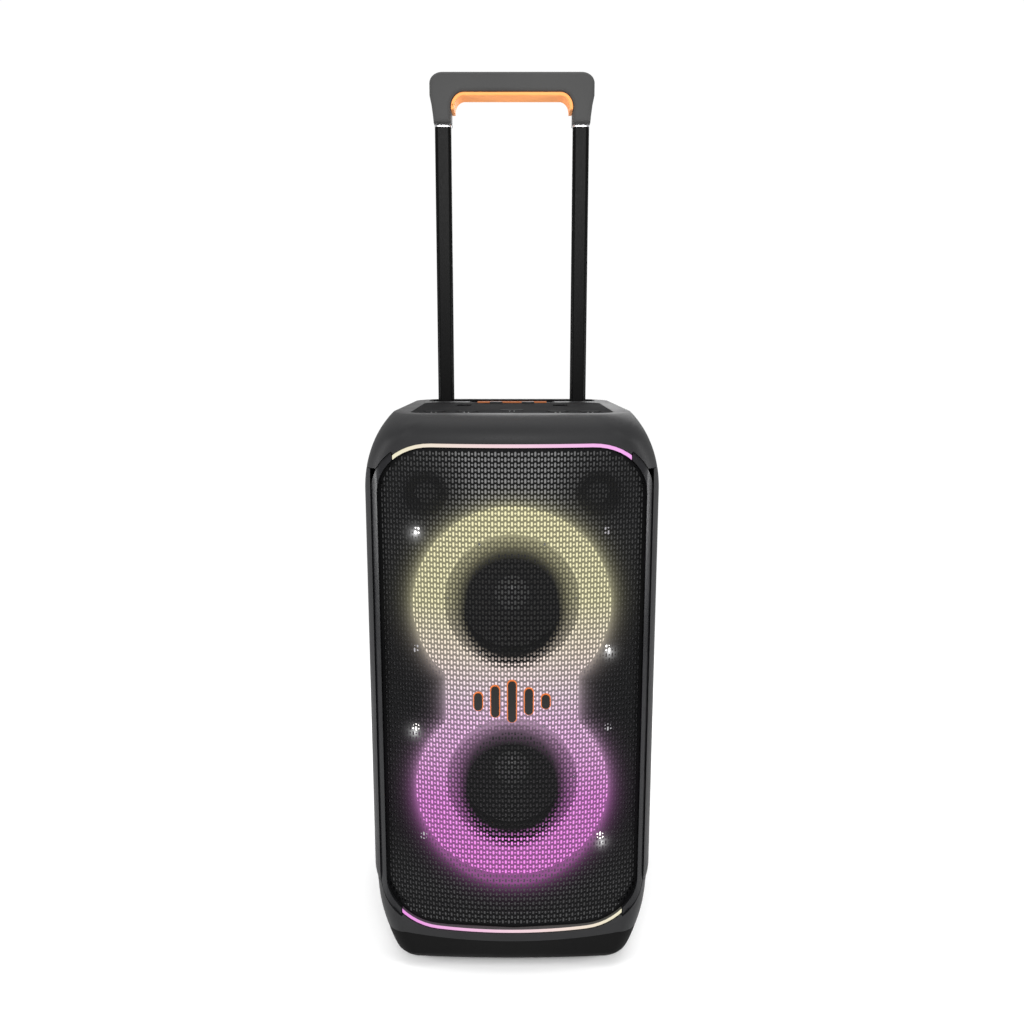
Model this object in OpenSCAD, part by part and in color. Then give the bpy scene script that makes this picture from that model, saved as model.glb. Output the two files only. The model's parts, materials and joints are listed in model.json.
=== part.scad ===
// Battery party speaker on wheels, with a pull-out trolley handle.
// The front faces -Y, up is +Z, and the floor is z = 0 under the middle of the body.
// Inside the modules a point's y is its depth behind the front plane; place() moves it to the frame.

/* [Body] */
// Width of the body across the side panels
body_w = 333; // [330:0.5:336]
// Depth from the front plane to the back of the wheels
body_d = 373; // [370:0.5:378]
// Height of the control deck above the floor
deck_z = 660; // [658:0.5:662]
// Height of the seam between the side panels and the top cap
top_seam_z = 601; // [598:0.5:603]
// Height of the seam between the bottom cap and the side panels
low_seam_z = 103; // [101:0.5:106]
// Wall thickness of the outer mouldings
wall = 4; // [3:0.1:4.5]
// Gap shown between neighbouring mouldings
seam = 0.8; // [0.4:0.1:1.2]
// Height of the rubber feet
foot_h = 4; // [3.5:0.1:5]

/* [Front] */
// Radius of the bowed front, seen from above
lens_r = 460; // [440:5:500]
// Half width of the grille's outline
grille_half_w = 149; // [146:0.5:150]
// Height of the grille's lower edge
grille_low_z = 58; // [56:0.5:62]
// Height of the grille's upper edge
grille_high_z = 626; // [622:0.5:628]
// Width and height of the grille's rounded corners
grille_corner = [61, 52]; // [56:66]
// Thickness of the grille sheet
grille_t = 1.2; // [0.8:0.1:1.6]
// Width of the lit line above and below the grille
strip_t = 4.4; // [3.5:0.1:4.6]
// Half width over which the lit lines run
strip_half_w = 131; // [125:0.5:133]
// Width of the bezels beside the grille
bezel_w = 8; // [7:0.1:8]

/* [Drivers] */
// Height of the upper woofer's centre
woofer_high_z = 452; // [448:0.5:456]
// Height of the lower woofer's centre
woofer_low_z = 236; // [232:0.5:240]
// Radius of the opening in the ring light
woofer_r = 76; // [75:0.5:78]
// Outer radius of the ring light round each woofer
ring_r = 112; // [110:0.5:113]
// How far the lower and upper ring's outer edge is set below its woofer's centre
ring_drop = [9, 5]; // [4:10]
// Distance of each tweeter from the middle
tweeter_x = 97; // [95:0.5:99]
// Height of the tweeters
tweeter_z = 572; // [570:0.5:574]
// Radius of the bass port's bore
port_r = 27; // [24:0.5:28]
// Height of the bass port
port_z = 540; // [538:0.5:544]

/* [Handle] */
// Distance between the poles' centres
pole_gap = 184; // [182:0.5:186]
// Width of each pole
pole_w = 22; // [21:0.1:22.5]
// Depth of each pole
pole_t = 14; // [13:0.1:15]
// Depth of the poles' centres behind the front plane
pole_d = 322; // [321:0.5:323]
// Height of the top of the grip with the handle out
grip_top_z = 1088; // [1085:1:1090]
// Length that the handle slides down
handle_travel = 424; // [415:1:426]
// Outer width of the grip
grip_w = 217; // [216:0.5:219]
// Depth of the grip
grip_t = 40; // [38:0.5:41]

/* [Wheels] */
// Outer radius of the tyres
tyre_r = 42.5; // [41:0.1:43]
// Width of each wheel
wheel_w = 28; // [24:0.5:29]
// Radius of the axle
axle_r = 4; // [3.5:0.1:4.5]

/* [Hidden] */
$fn = 64;

// Body outline seen from the front
half = body_w / 2;
top_arc_r = 138;
top_arc_z = 574.5;
low_arc_r = 162;
low_arc_z = 100;
chin_half = 163.2;
rear_d = 362;
rear_r = 50;
rear_inset = 4;
corner_w = 26;
corner_d = 34;
panel_front_x = 157.4;
cover_front_d = 318;

// Front layers, as depths behind the front plane
grille_d = 6;
diffuser_d = 24;
light_board_d = 28.5;
flange_d = 32.5;
baffle_d = 36;
baffle_t = 10;
enclosure_back_d = 262;
enclosure_half_w = 150;
enclosure_low_z = 84;
enclosure_high_z = 598;
cone_r = 57.6;
roll_r = 64;

// Control deck
deck_t = 3;
deck_w = 232;
deck_l = 210;
deck_mid_d = 164;
button_r = 11;
button_gap = 0.3;
power_r = 14;
small_button_d = 85;
button_x = [-89, -52, 52, 89];
power_d = 110;
knob_r = 8.5;
knob_x = 21;
knob_d = 244;
board_z = deck_z - 16;
board_t = 1.6;

// Handle
pole_x = pole_gap / 2;
collar_z = grip_top_z - 66;
bar_low_z = grip_top_z - 25;
guide_low_z = 80;
pole_low_z = guide_low_z + 8 + handle_travel;
well_floor_z = deck_z - 70;
well_t = 2.5;
well_w = 229;
well_l = 51;
finger_w = 115;
finger_l = 48;
finger_d = 296;
slide_gap = 0.4;

// Base
wheel_d = body_d - tyre_r;
wheel_z = tyre_r + 1.5;
wheel_x = 114.5;
well_r = tyre_r + 5.5;

// Rear
battery_half_w = 58;
battery_low_z = 124;
battery_high_z = 276;
door_half_w = 65;
door_low_z = 113;
door_high_z = 287;
door_d = 356;
hinge_r = 3;
pintle_r = 1.5;
hinge_d = door_d + 1;
panel_half_w = 68;
panel_low_z = 318;
panel_high_z = 424;
panel_d = 350;

shell_grey = [0.16, 0.16, 0.17];
dark_grey = [0.1, 0.1, 0.105];
orange = [0.95, 0.5, 0.2];
board_green = [0.08, 0.25, 0.14];
steel = [0.6, 0.6, 0.62];

module place() {
    translate([0, -body_d / 2, 0]) children();
}

// ---- Outlines ----

function arc_points(centre, radii, from, to, steps) = [
    for (i = [0 : steps])
        let (a = from + (to - from) * i / steps)
        [centre[0] + radii[0] * cos(a), centre[1] + radii[1] * sin(a)]
];

function mirrored(points) = [
    for (i = [len(points) - 1 : -1 : 0]) [-points[i][0], points[i][1]]
];

// Half width of the body at height z
function half_at(z) =
    z > top_arc_z ? half - top_arc_r + sqrt(pow(top_arc_r, 2) - pow(z - top_arc_z, 2))
    : z < low_arc_z ? chin_half - low_arc_r + sqrt(pow(low_arc_r, 2) - pow(low_arc_z - z, 2))
    : half;

// Depth of the bowed front at x, where its middle is at depth f
function bow(x, f) = f + lens_r - sqrt(pow(lens_r, 2) - x * x);

// Right half of the body seen from above: half width w, front at depth f, back at depth b
function plan_right(w, f, b) = concat(
    [for (i = [1 : 6]) let (x = (w - corner_w) * i / 6.2) [x, bow(x, f)]],
    arc_points([w - corner_w, bow(w - corner_w, f) + corner_d], [corner_w, corner_d], -90, 0, 8),
    arc_points([w - rear_inset - rear_r, b - rear_r], [rear_r, rear_r], 0, 90, 10)
);

function plan(w, f, b) = concat(plan_right(w, f, b), mirrored(plan_right(w, f, b)), [[0, f]]);

// Right half of the grille's outline, from the bottom to the top
function outline_right(e) = concat(
    arc_points([grille_half_w - grille_corner[0], grille_low_z + grille_corner[1]],
        grille_corner + [e, e], -90, 0, 12),
    arc_points([grille_half_w - grille_corner[0], grille_high_z - grille_corner[1]],
        grille_corner + [e, e], 0, 90, 12)
);

module grille_outline(e) {
    polygon(concat(outline_right(e), mirrored(outline_right(e))));
}

// A shape drawn in X and Z, with its thickness along the depth from d0 to d1
module front_extrude(d0, d1) {
    translate([0, d1, 0]) rotate([90, 0, 0]) linear_extrude(d1 - d0) children();
}

// A turned shape whose axis runs along the depth, drawn as [radius, depth]
module turned(x, z) {
    translate([x, 0, z]) rotate([-90, 0, 0]) rotate_extrude($fn = 96) children();
}

module rounded_rect(w, h, r) {
    square([w - 2 * r, h], center = true);
    square([w, h - 2 * r], center = true);
    for (x = [-1, 1], y = [-1, 1])
        translate([x * (w / 2 - r), y * (h / 2 - r)]) circle(r, $fn = 32);
}

module deck_rect(x, d, w, h, r, z0, z1) {
    translate([x, d, z0]) linear_extrude(z1 - z0) rounded_rect(w, h, r);
}

module box(x0, x1, d0, d1, z0, z1) {
    translate([x0, d0, z0]) cube([x1 - x0, d1 - d0, z1 - z0]);
}

module layer(z, inset, f) {
    translate([0, 0, z]) linear_extrude(0.01)
        polygon(plan(half_at(z) - inset, f + inset, rear_d - inset));
}

module body_ring(z0, z1) {
    translate([0, 0, z0]) linear_extrude(z1 - z0) difference() {
        polygon(plan(half, 0, rear_d));
        polygon(plan(half - wall, wall, rear_d - wall));
    }
}

// ---- Cabinet ----

module enclosure() {
    color(dark_grey) place() difference() {
        box(-enclosure_half_w, enclosure_half_w, baffle_d + baffle_t, enclosure_back_d,
            enclosure_low_z, enclosure_high_z);
        box(-enclosure_half_w + 5, enclosure_half_w - 5, baffle_d, enclosure_back_d - 5,
            enclosure_low_z + 5, enclosure_high_z - 5);
        for (x = [-1, 1], z = [enclosure_low_z, enclosure_high_z])
            translate([x * enclosure_half_w, 0, z]) rotate([-90, 45, 0])
                cube([24, 24, 600], center = true);
        translate([0, 0, port_z]) rotate([-90, 0, 0]) cylinder(r = port_r + 3.5, h = 300);
    }
}

module front_baffle() {
    color(dark_grey) place() difference() {
        front_extrude(baffle_d, baffle_d + baffle_t) grille_outline(-3);
        for (z = [woofer_low_z, woofer_high_z])
            translate([0, 0, z]) rotate([-90, 0, 0]) cylinder(r = 72.5, h = 60);
        for (x = [-1, 1])
            translate([x * tweeter_x, 0, tweeter_z]) rotate([-90, 0, 0]) cylinder(r = 18.5, h = 60);
    }
}

rib_pitch = 10.7;
rib_depth = 0.9;
rib_gap = 3;

module side_panel(side) {
    color(shell_grey) place() difference() {
        body_ring(low_seam_z + seam / 2, top_seam_z - seam / 2);
        translate([side * (panel_front_x - 400), 200, 300]) cube([800, 800, 800], center = true);
        box(-400, 400, cover_front_d - seam / 2, 500, 0, 700);
        for (z = [low_seam_z + 22 : rib_pitch : top_seam_z - 22])
            translate([0, 0, z]) linear_extrude(rib_gap) difference() {
                translate([side * 166, 190]) square([30, 236], center = true);
                polygon(plan(half - rib_depth, 0, rear_d));
            }
    }
}

module side_panel_left() {
    side_panel(-1);
}

module side_panel_right() {
    side_panel(1);
}

module rear_cover() {
    color(shell_grey) place() difference() {
        intersection() {
            body_ring(low_seam_z + seam / 2, top_seam_z - seam / 2);
            box(-400, 400, cover_front_d + seam / 2, 500, 0, 700);
        }
        translate([0, 300, port_z]) rotate([-90, 0, 0]) cylinder(r = port_r + 9.5, h = 100);
        box(-panel_half_w - 0.3, panel_half_w + 0.3, 300, 400, panel_low_z - 0.3, panel_high_z + 0.3);
        box(-door_half_w - 0.5, door_half_w + 0.5, 300, 400, door_low_z - 5, door_high_z + 5);
    }
    color(shell_grey) place() for (x = [-1, 1]) difference() {
        box(x * 61.5 - 5, x * 61.5 + 5, hinge_d - 3.5, rear_d - 1, door_low_z - 6, door_low_z + 5);
        hinge_rod(pintle_r + 0.05, 80);
    }
}

// A rod on the battery door's hinge line
module hinge_rod(r, half_length) {
    translate([-half_length, hinge_d, door_low_z]) rotate([0, 90, 0]) cylinder(r = r, h = 2 * half_length);
}

// Height and front depth of the top cap's layers
top_layers = [[0, 0], [31, 0], [44, 3], [52, 10], [56.5, 18], [59, 27]];
hood_low_z = top_seam_z + seam / 2;
hood_scale = (deck_z - hood_low_z) / 59;

module hood_solid(inset) {
    hull() for (l = top_layers) layer(hood_low_z + l[0] * hood_scale - inset, inset, l[1]);
}

// Hole in the caps for the grille, its lit lines and the bezels beside them
module front_opening() {
    front_extrude(-20, 60) {
        grille_outline(strip_t + 0.4);
        difference() {
            grille_outline(bezel_w + 0.5);
            square([2 * strip_half_w + 1, 1500], center = true);
        }
    }
}

module top_cap() {
    color(shell_grey) place() difference() {
        hood_solid(0);
        hood_solid(wall);
        front_opening();
        deck_rect(0, deck_mid_d, deck_w + 0.6, deck_l + 0.6, 20.3, deck_z - 10, deck_z + 5);
        deck_rect(0, pole_d, well_w + 0.4, well_l + 0.4, 4, deck_z - 10, deck_z + 5);
        deck_rect(0, finger_d, finger_w + 0.4, finger_l + 0.4, 4, deck_z - 10, deck_z + 5);
    }
}

// Height and front depth of the bottom cap's layers
low_layers = [[4, 28], [9, 18], [20, 8], [36, 2.5], [44, 0], [102.6, 0]];

module base_solid(inset) {
    hull() for (l = low_layers) layer(l[0] + (l[0] < 50 ? inset : 0), inset, l[1]);
}

// Arches round both wheels, open below and behind, from x = from outwards
module wheel_space(grow, from) {
    reach = 100;
    for (s = [0, 1]) mirror([s, 0, 0]) translate([from, wheel_d, wheel_z]) rotate([0, 90, 0]) {
        cylinder(r = well_r + grow, h = reach);
        translate([0, -well_r - grow, 0]) cube([reach, 2 * (well_r + grow), reach]);
        translate([-well_r - grow, 0, 0]) cube([reach + well_r, reach, reach]);
    }
}

module bottom_cap() {
    color(shell_grey) place() difference() {
        union() {
            difference() {
                base_solid(0);
                translate([0, 0, 0.01]) base_solid(wall);
            }
            intersection() {
                base_solid(0.01);
                wheel_space(3, wheel_x - 5.5);
            }
        }
        wheel_space(0, wheel_x - 2.5);
        front_opening();
        translate([-200, wheel_d, wheel_z]) rotate([0, 90, 0]) cylinder(r = axle_r + 0.05, h = 400);
    }
}

// ---- Front ----

// A sheet that follows the bowed front, from depth d0 to d1 in the middle
module bowed(d0, d1) {
    translate([0, lens_r, 0]) difference() {
        cylinder(r = lens_r - d0, h = 700, $fn = 360);
        translate([0, 0, -1]) cylinder(r = lens_r - d1, h = 702, $fn = 360);
    }
}

module grille() {
    color(dark_grey) place() intersection() {
        bowed(grille_d, grille_d + grille_t);
        front_extrude(-10, 60) grille_outline(0);
    }
}

module grille_bezels() {
    color([0.2, 0.2, 0.21]) place() intersection() {
        translate([0, 0, grille_low_z]) linear_extrude(grille_high_z - grille_low_z)
            polygon(plan(half - 1.2, 1.6, rear_d));
        front_extrude(12, 45) difference() {
            grille_outline(bezel_w);
            grille_outline(0.6);
            square([2 * strip_half_w + 2, 1500], center = true);
        }
    }
}

module light_strip(z0) {
    color([1, 0.9, 0.85]) place() intersection() {
        bowed(2, 12);
        front_extrude(-10, 60) difference() {
            grille_outline(strip_t);
            grille_outline(0.5);
            translate([-200, z0]) square([400, 400]);
            for (s = [-1, 1]) translate([s * (strip_half_w + 100), 0]) square([200, 1500], center = true);
        }
    }
}

module light_strip_top() {
    light_strip(0);
}

module light_strip_bottom() {
    light_strip(300);
}

// Figure-eight outline of the ring light, grown by e
module eight(e) {
    for (z = [woofer_low_z - ring_drop[0], woofer_high_z - ring_drop[1]])
        translate([0, z]) circle(ring_r + e, $fn = 128);
    translate([0, (woofer_low_z + woofer_high_z) / 2])
        square([2 * (woofer_r + e), 160], center = true);
}

module ring_plate(d0, d1, e) {
    front_extrude(d0, d1) difference() {
        eight(e);
        for (z = [woofer_low_z, woofer_high_z]) translate([0, z]) circle(woofer_r - e, $fn = 128);
    }
}

module ring_light_diffuser() {
    color([0.95, 0.85, 0.9]) place() ring_plate(diffuser_d, diffuser_d + 3, 0);
}

module ring_light_board() {
    color(board_green) place() ring_plate(light_board_d, light_board_d + board_t, -1);
}

led_places = [[-107, 530], [107, 530], [-110, 392], [110, 392], [-112, 296], [112, 296],
    [-105, 160], [105, 160]];

module strobe_leds() {
    color("white") place() for (p = led_places)
        turned(p[0], p[1]) polygon([
            [0, 29.5], [2.5, 29.5], [2.5, flange_d], [4, flange_d], [4, baffle_d], [0, baffle_d]
        ]);
}

bar_w = 9;
bar_step = 19;
bar_heights = [20, 36, 48, 30, 16];

module badge_shape(e) {
    for (i = [0 : 4]) translate([(i - 2) * bar_step, 340])
        rounded_rect(bar_w + e, bar_heights[i] + e, (bar_w + e) / 2 - 0.1);
}

module badge_bars() {
    color(dark_grey) place() front_extrude(1.6, 3.6) badge_shape(0);
}

module badge_outline() {
    color(orange) place() front_extrude(3.6, 5.6) badge_shape(2.4);
}

// ---- Drivers ----

module each_woofer() {
    for (z = [woofer_low_z, woofer_high_z]) translate([0, 0, z]) children();
}

module woofer_baskets() {
    color([0.12, 0.12, 0.12]) place() each_woofer() difference() {
        turned(0, 0) polygon([
            [70.3, flange_d], [75, flange_d], [75, baffle_d], [72, baffle_d], [72, 47], [50, 90],
            [50, 93], [22, 93], [22, 90.5], [47, 90.5], [68.5, 46], [70.3, 40]
        ]);
        for (a = [0 : 60 : 300]) rotate([0, a, 0]) translate([0, 68, 60])
            cube([34, 30, 50], center = true);
    }
}

module woofer_surrounds() {
    color([0.05, 0.05, 0.05]) place() each_woofer() turned(0, 0) difference() {
        translate([roll_r, 34]) circle(6, $fn = 48);
        translate([roll_r, 34]) circle(4.9, $fn = 48);
        translate([50, 34]) square([30, 20]);
    }
}

module woofer_spiders() {
    color([0.75, 0.6, 0.3]) place() each_woofer() turned(0, 0)
        translate([19.8, 74]) square([34.2, 1.2]);
}

module woofer_magnets() {
    color(steel) place() each_woofer() {
        turned(0, 0) polygon([[20, 93.2], [42, 93.2], [42, 98], [20, 98]]);
        turned(0, 0) polygon([[24, 98], [48, 98], [48, 113], [24, 113]]);
        turned(0, 0) polygon([[0, 86], [17.4, 86], [17.4, 113], [42, 113], [42, 118], [0, 118]]);
    }
}

module cone(z) {
    color([0.14, 0.14, 0.15]) place() turned(0, z)
        polygon([[cone_r, 33], [cone_r, 34], [19.2, 63.6], [18.4, 63.6], [18.4, 62.4]]);
    color([0.7, 0.4, 0.2]) place() turned(0, z) translate([18.3, 63.9]) square([0.8, 30]);
}

module cone_upper() {
    cone(woofer_high_z);
}

module cone_lower() {
    cone(woofer_low_z);
}

module dust_cap(z) {
    color([0.1, 0.1, 0.11]) place() turned(0, z) difference() {
        intersection() {
            translate([0, 70]) circle(25, $fn = 96);
            square([20.5, 60.3]);
        }
        translate([0, 70]) circle(24, $fn = 96);
    }
}

module dust_cap_upper() {
    dust_cap(woofer_high_z);
}

module dust_cap_lower() {
    dust_cap(woofer_low_z);
}

module tweeter_frames() {
    color(dark_grey) place() for (x = [-1, 1]) {
        turned(x * tweeter_x, tweeter_z) polygon([
            [13.5, 38], [22, flange_d], [25, flange_d], [25, baffle_d], [18, baffle_d],
            [18, 52], [0, 52], [0, 48], [13.5, 48]
        ]);
        turned(x * tweeter_x, tweeter_z) polygon([[0, 52.2], [20, 52.2], [20, 64], [0, 64]]);
    }
}

module tweeter_domes() {
    color([0.3, 0.3, 0.32]) place() for (x = [-1, 1])
        turned(x * tweeter_x, tweeter_z) difference() {
            intersection() {
                translate([0, 49]) circle(13, $fn = 64);
                square([13.2, 47.5]);
            }
            translate([0, 49]) circle(12.3, $fn = 64);
        }
}

module bass_port() {
    color([0.06, 0.06, 0.06]) place() turned(0, port_z) polygon([
        [port_r, 110], [port_r + 3, 110], [port_r + 3, rear_d - 8], [port_r + 9, rear_d - 2],
        [port_r + 9, rear_d + 0.5], [port_r + 6, rear_d + 0.5], [port_r, rear_d - 7]
    ]);
}

// ---- Control deck ----

module control_deck() {
    color([0.13, 0.13, 0.135]) place() difference() {
        deck_rect(0, deck_mid_d, deck_w, deck_l, 20, deck_z - deck_t, deck_z);
        for (x = button_x) translate([x, small_button_d, deck_z - 20])
            cylinder(r = button_r + button_gap, h = 40);
        for (x = button_x) translate([x, small_button_d, deck_z + 30]) sphere(r = 33.5);
        translate([0, power_d, deck_z - 20]) cylinder(r = power_r + button_gap, h = 40);
        for (x = [-1, 1]) {
            translate([x * knob_x, knob_d, deck_z - 20]) cylinder(r = knob_r + 0.6, h = 40);
            deck_rect(x * 61.5, 205, 19, 30, 6, deck_z - 2.2, deck_z + 1);
        }
        box(-46.3, 46.3, 256.7, 262.3, deck_z - 20, deck_z + 5);
    }
}

module square_post(x, d, w, z0, z1) {
    box(x - w / 2, x + w / 2, d - w / 2, d + w / 2, z0, z1);
}

// Circuit board with the switches and the knobs' shaft sockets
module control_board() {
    color(board_green) place() box(-106, 106, 66, 262, board_z, board_z + board_t);
    color(dark_grey) place() {
        for (x = [-knob_x, knob_x]) square_post(x, knob_d, 12, board_z + board_t, board_z + 6);
        for (x = button_x) square_post(x, small_button_d, 6, board_z + board_t, board_z + 4);
        square_post(0, power_d, 6, board_z + board_t, board_z + 4);
    }
}

module deck_accent() {
    color(orange) place() box(-46, 46, 257, 262, deck_z - 4, deck_z + 2);
}

module dished_button(x, d, r) {
    color([0.17, 0.17, 0.175]) place() difference() {
        translate([x, d, deck_z - 9]) cylinder(r = r, h = 9.4);
        translate([x, d, deck_z + 60]) sphere(r = 60.4, $fn = 128);
        translate([x, d, deck_z - 10]) cylinder(r = r - 2, h = 6);
    }
}

module light_button() {
    dished_button(button_x[0], small_button_d, button_r);
}

module bass_button() {
    dished_button(button_x[1], small_button_d, button_r);
}

module play_button() {
    dished_button(button_x[2], small_button_d, button_r);
}

module pairing_button() {
    dished_button(button_x[3], small_button_d, button_r);
}

module power_button() {
    dished_button(0, power_d, power_r);
}

module deck_knob(x) {
    color(dark_grey) place() difference() {
        union() {
            translate([x, knob_d, deck_z - 6]) cylinder(r = knob_r, h = 8.4);
            translate([x, knob_d, board_z + 6.4]) cylinder(r = 3, h = 6);
        }
        for (a = [0 : 15 : 345]) translate([x, knob_d, 0]) rotate([0, 0, a])
            translate([knob_r + 0.2, 0, deck_z - 1]) cylinder(r = 0.6, h = 10, $fn = 16);
        box(x - 0.5, x + 0.5, knob_d - knob_r, knob_d - 3, deck_z + 2, deck_z + 5);
    }
}

module knob_left() {
    deck_knob(-knob_x);
}

module knob_right() {
    deck_knob(knob_x);
}

// ---- Handle ----

module pole_section(grow) {
    rounded_rect(pole_w + 2 * grow, pole_t + 2 * grow, 5 + grow);
}

module each_pole() {
    for (x = [-1, 1]) translate([x * pole_x, pole_d, 0]) children();
}

leg_pocket_x = 93;
leg_pocket_w = 38;

// Tray in the deck that the grip drops into, with a deeper pocket for each leg
module grip_well() {
    color(dark_grey) place() difference() {
        union() {
            deck_rect(0, pole_d, well_w, well_l, 4, deck_z - 36, deck_z);
            deck_rect(0, finger_d, finger_w, finger_l, 4, deck_z - 36, deck_z);
            for (x = [-1, 1])
                deck_rect(x * leg_pocket_x, pole_d, leg_pocket_w + 2 * well_t, well_l, 4,
                    well_floor_z - well_t, deck_z - 30);
        }
        deck_rect(0, pole_d, well_w - 2 * well_t, well_l - 2 * well_t, 2, deck_z - 33.5, deck_z + 5);
        deck_rect(0, finger_d + well_t, finger_w - 2 * well_t, finger_l, 2, deck_z - 33.5, deck_z + 5);
        for (x = [-1, 1])
            deck_rect(x * leg_pocket_x, pole_d, leg_pocket_w, well_l - 2 * well_t, 2,
                well_floor_z, deck_z + 5);
        each_pole() translate([0, 0, 400]) linear_extrude(300) pole_section(slide_gap);
    }
}

module handle_guides() {
    color(dark_grey) place() each_pole() translate([0, 0, guide_low_z])
        linear_extrude(well_floor_z - well_t - guide_low_z) difference() {
            pole_section(3);
            pole_section(slide_gap);
        }
}

module handle_poles() {
    color([0.04, 0.04, 0.04]) place() each_pole() translate([0, 0, pole_low_z])
        linear_extrude(collar_z - pole_low_z) difference() {
            pole_section(0);
            pole_section(-1.6);
        }
}

module pole_collars() {
    color([0.75, 0.75, 0.76]) place() each_pole() translate([0, 0, collar_z])
        linear_extrude(3) difference() {
            pole_section(0.2);
            pole_section(-3);
        }
}

grip_foot_z = collar_z + 3;
grip_inner_r = 17;
leg_inner_x = pole_x - pole_w / 2 - 0.5;
liner_t = 4.5;

// Right half of the inside of the grip's loop, set in by e
function loop_right(e) = concat(
    [[leg_inner_x - e, grip_foot_z]],
    arc_points([leg_inner_x - grip_inner_r, bar_low_z - grip_inner_r - 2],
        [grip_inner_r - e, grip_inner_r + 2 - e], 0, 90, 10)
);

// Right half of the outside of the grip
grip_right = concat(
    [[pole_x + pole_w / 2 + 0.5, grip_foot_z], [pole_x + pole_w / 2 + 2, grip_foot_z + 18]],
    arc_points([grip_w / 2 - 17, grip_top_z - 12], [17, 12], 0, 90, 10)
);

module grip_loop(e) {
    polygon(concat(loop_right(e), mirrored(loop_right(e))));
}

module handle_grip() {
    color([0.2, 0.2, 0.2]) place() difference() {
        front_extrude(pole_d - grip_t / 2, pole_d + grip_t / 2) difference() {
            polygon(concat(grip_right, mirrored(grip_right)));
            grip_loop(0);
        }
        deck_rect(0, pole_d, 67, 17, 6, grip_top_z - 9, grip_top_z + 5);
    }
}

module grip_liner() {
    color(orange) place() front_extrude(pole_d - grip_t / 2 + 1.5, pole_d + grip_t / 2 - 1.5)
        difference() {
            intersection() {
                grip_loop(0.05);
                translate([-200, bar_low_z - 22]) square([400, 60]);
            }
            grip_loop(liner_t);
        }
}

module release_button() {
    color([0.12, 0.12, 0.12]) place()
        deck_rect(0, pole_d, 66, 16, 5.5, grip_top_z - 5.5, grip_top_z - 0.2);
}

// ---- Rear ----

module battery_pack() {
    color([0.22, 0.22, 0.23]) place() difference() {
        box(-battery_half_w, battery_half_w, 276, 346, battery_low_z, battery_high_z);
        for (x = [-1, 1]) box(x * 30 - 8, x * 30 + 8, 340, 350, battery_low_z + 50, battery_low_z + 100);
    }
}

module battery_tray() {
    color(dark_grey) place() difference() {
        box(-battery_half_w - 4, battery_half_w + 4, 270, 351, battery_low_z - 4, battery_high_z + 4);
        box(-battery_half_w - 1, battery_half_w + 1, 274, 400, battery_low_z - 1, battery_high_z + 1);
    }
}

module battery_door() {
    color(shell_grey) place() {
        difference() {
            union() {
                difference() {
                    box(-door_half_w, door_half_w, door_d, door_d + 4, door_low_z, door_high_z);
                    for (x = [-1, 1]) box(x * 61.5 - 6, x * 61.5 + 6, 350, 370, 100, door_low_z + 7);
                }
                hinge_rod(hinge_r, 55);
                hinge_rod(pintle_r, 63);
            }
            box(-14, 14, door_d - 1, door_d + 1.6, door_high_z - 26, door_high_z + 2);
            box(-10, 10, door_d, door_d + 8, door_high_z - 22, door_high_z - 6);
        }
    }
}

module door_latch() {
    color([0.25, 0.25, 0.26]) place() {
        box(-13, 13, door_d - 0.8, door_d + 1.3, door_high_z - 19, door_high_z + 3);
        box(-9, 9, door_d + 1.3, door_d + 4.6, door_high_z - 16, door_high_z - 7);
    }
}

jack_x = [-46, -18];
jack_z = 346;

module io_panel() {
    color([0.1, 0.1, 0.1]) place() difference() {
        box(-panel_half_w, panel_half_w, panel_d, rear_d - 0.5, panel_low_z, panel_high_z);
        box(-panel_half_w + 3, panel_half_w - 3, panel_d + 3, 400, panel_low_z + 3, panel_high_z - 3);
        for (x = jack_x) translate([x, 300, jack_z]) rotate([-90, 0, 0]) cylinder(r = 6.6, h = 100);
        for (x = jack_x) translate([x, 300, jack_z + 48]) rotate([-90, 0, 0]) cylinder(r = 3.6, h = 100);
        box(9.7, 24.3, 300, 400, jack_z - 4.3, jack_z + 4.3);
        box(34.7, 61.3, 300, 400, jack_z - 10.3, jack_z + 10.3);
        translate([17, 300, jack_z + 48]) rotate([-90, 0, 0]) cylinder(r = 4.1, h = 100);
    }
}

module rear_sockets() {
    color([0.05, 0.05, 0.05]) place() {
        for (x = jack_x) translate([x, 0, jack_z]) rotate([-90, 0, 0]) difference() {
            translate([0, 0, 336]) cylinder(r = 6.5, h = 19);
            translate([0, 0, 340]) cylinder(r = 3.25, h = 30);
        }
        translate([17, 0, jack_z + 48]) rotate([-90, 0, 0]) difference() {
            translate([0, 0, 340]) cylinder(r = 4, h = 14.5);
            translate([0, 0, 343]) cylinder(r = 1.8, h = 30);
        }
        difference() {
            box(10, 24, 338, 354, jack_z - 4, jack_z + 4);
            box(10.8, 23.2, 342, 360, jack_z - 2.6, jack_z + 2.6);
        }
        difference() {
            box(35, 61, 332, 354.5, jack_z - 10, jack_z + 10);
            inlet_bore();
        }
    }
}

// Bore of the two-pin mains inlet, two round holes joined by a slot
module inlet_bore() {
    for (x = [-1, 1]) translate([48 + x * 4.3, 338, jack_z]) rotate([-90, 0, 0]) cylinder(r = 4.3, h = 40);
    box(43.7, 52.3, 338, 378, jack_z - 4.3, jack_z + 4.3);
}

module gain_knob(x) {
    color([0.15, 0.15, 0.15]) place() translate([x, 0, jack_z + 48]) rotate([-90, 0, 0]) {
        difference() {
            translate([0, 0, panel_d + 4]) cylinder(r = 8, h = 8);
            translate([0, -6, panel_d + 12.2]) cube([1.4, 5, 2], center = true);
        }
        translate([0, 0, 340]) cylinder(r = 3.5, h = 14.05);
    }
}

module gain_knob_left() {
    gain_knob(jack_x[0]);
}

module gain_knob_right() {
    gain_knob(jack_x[1]);
}

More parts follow.
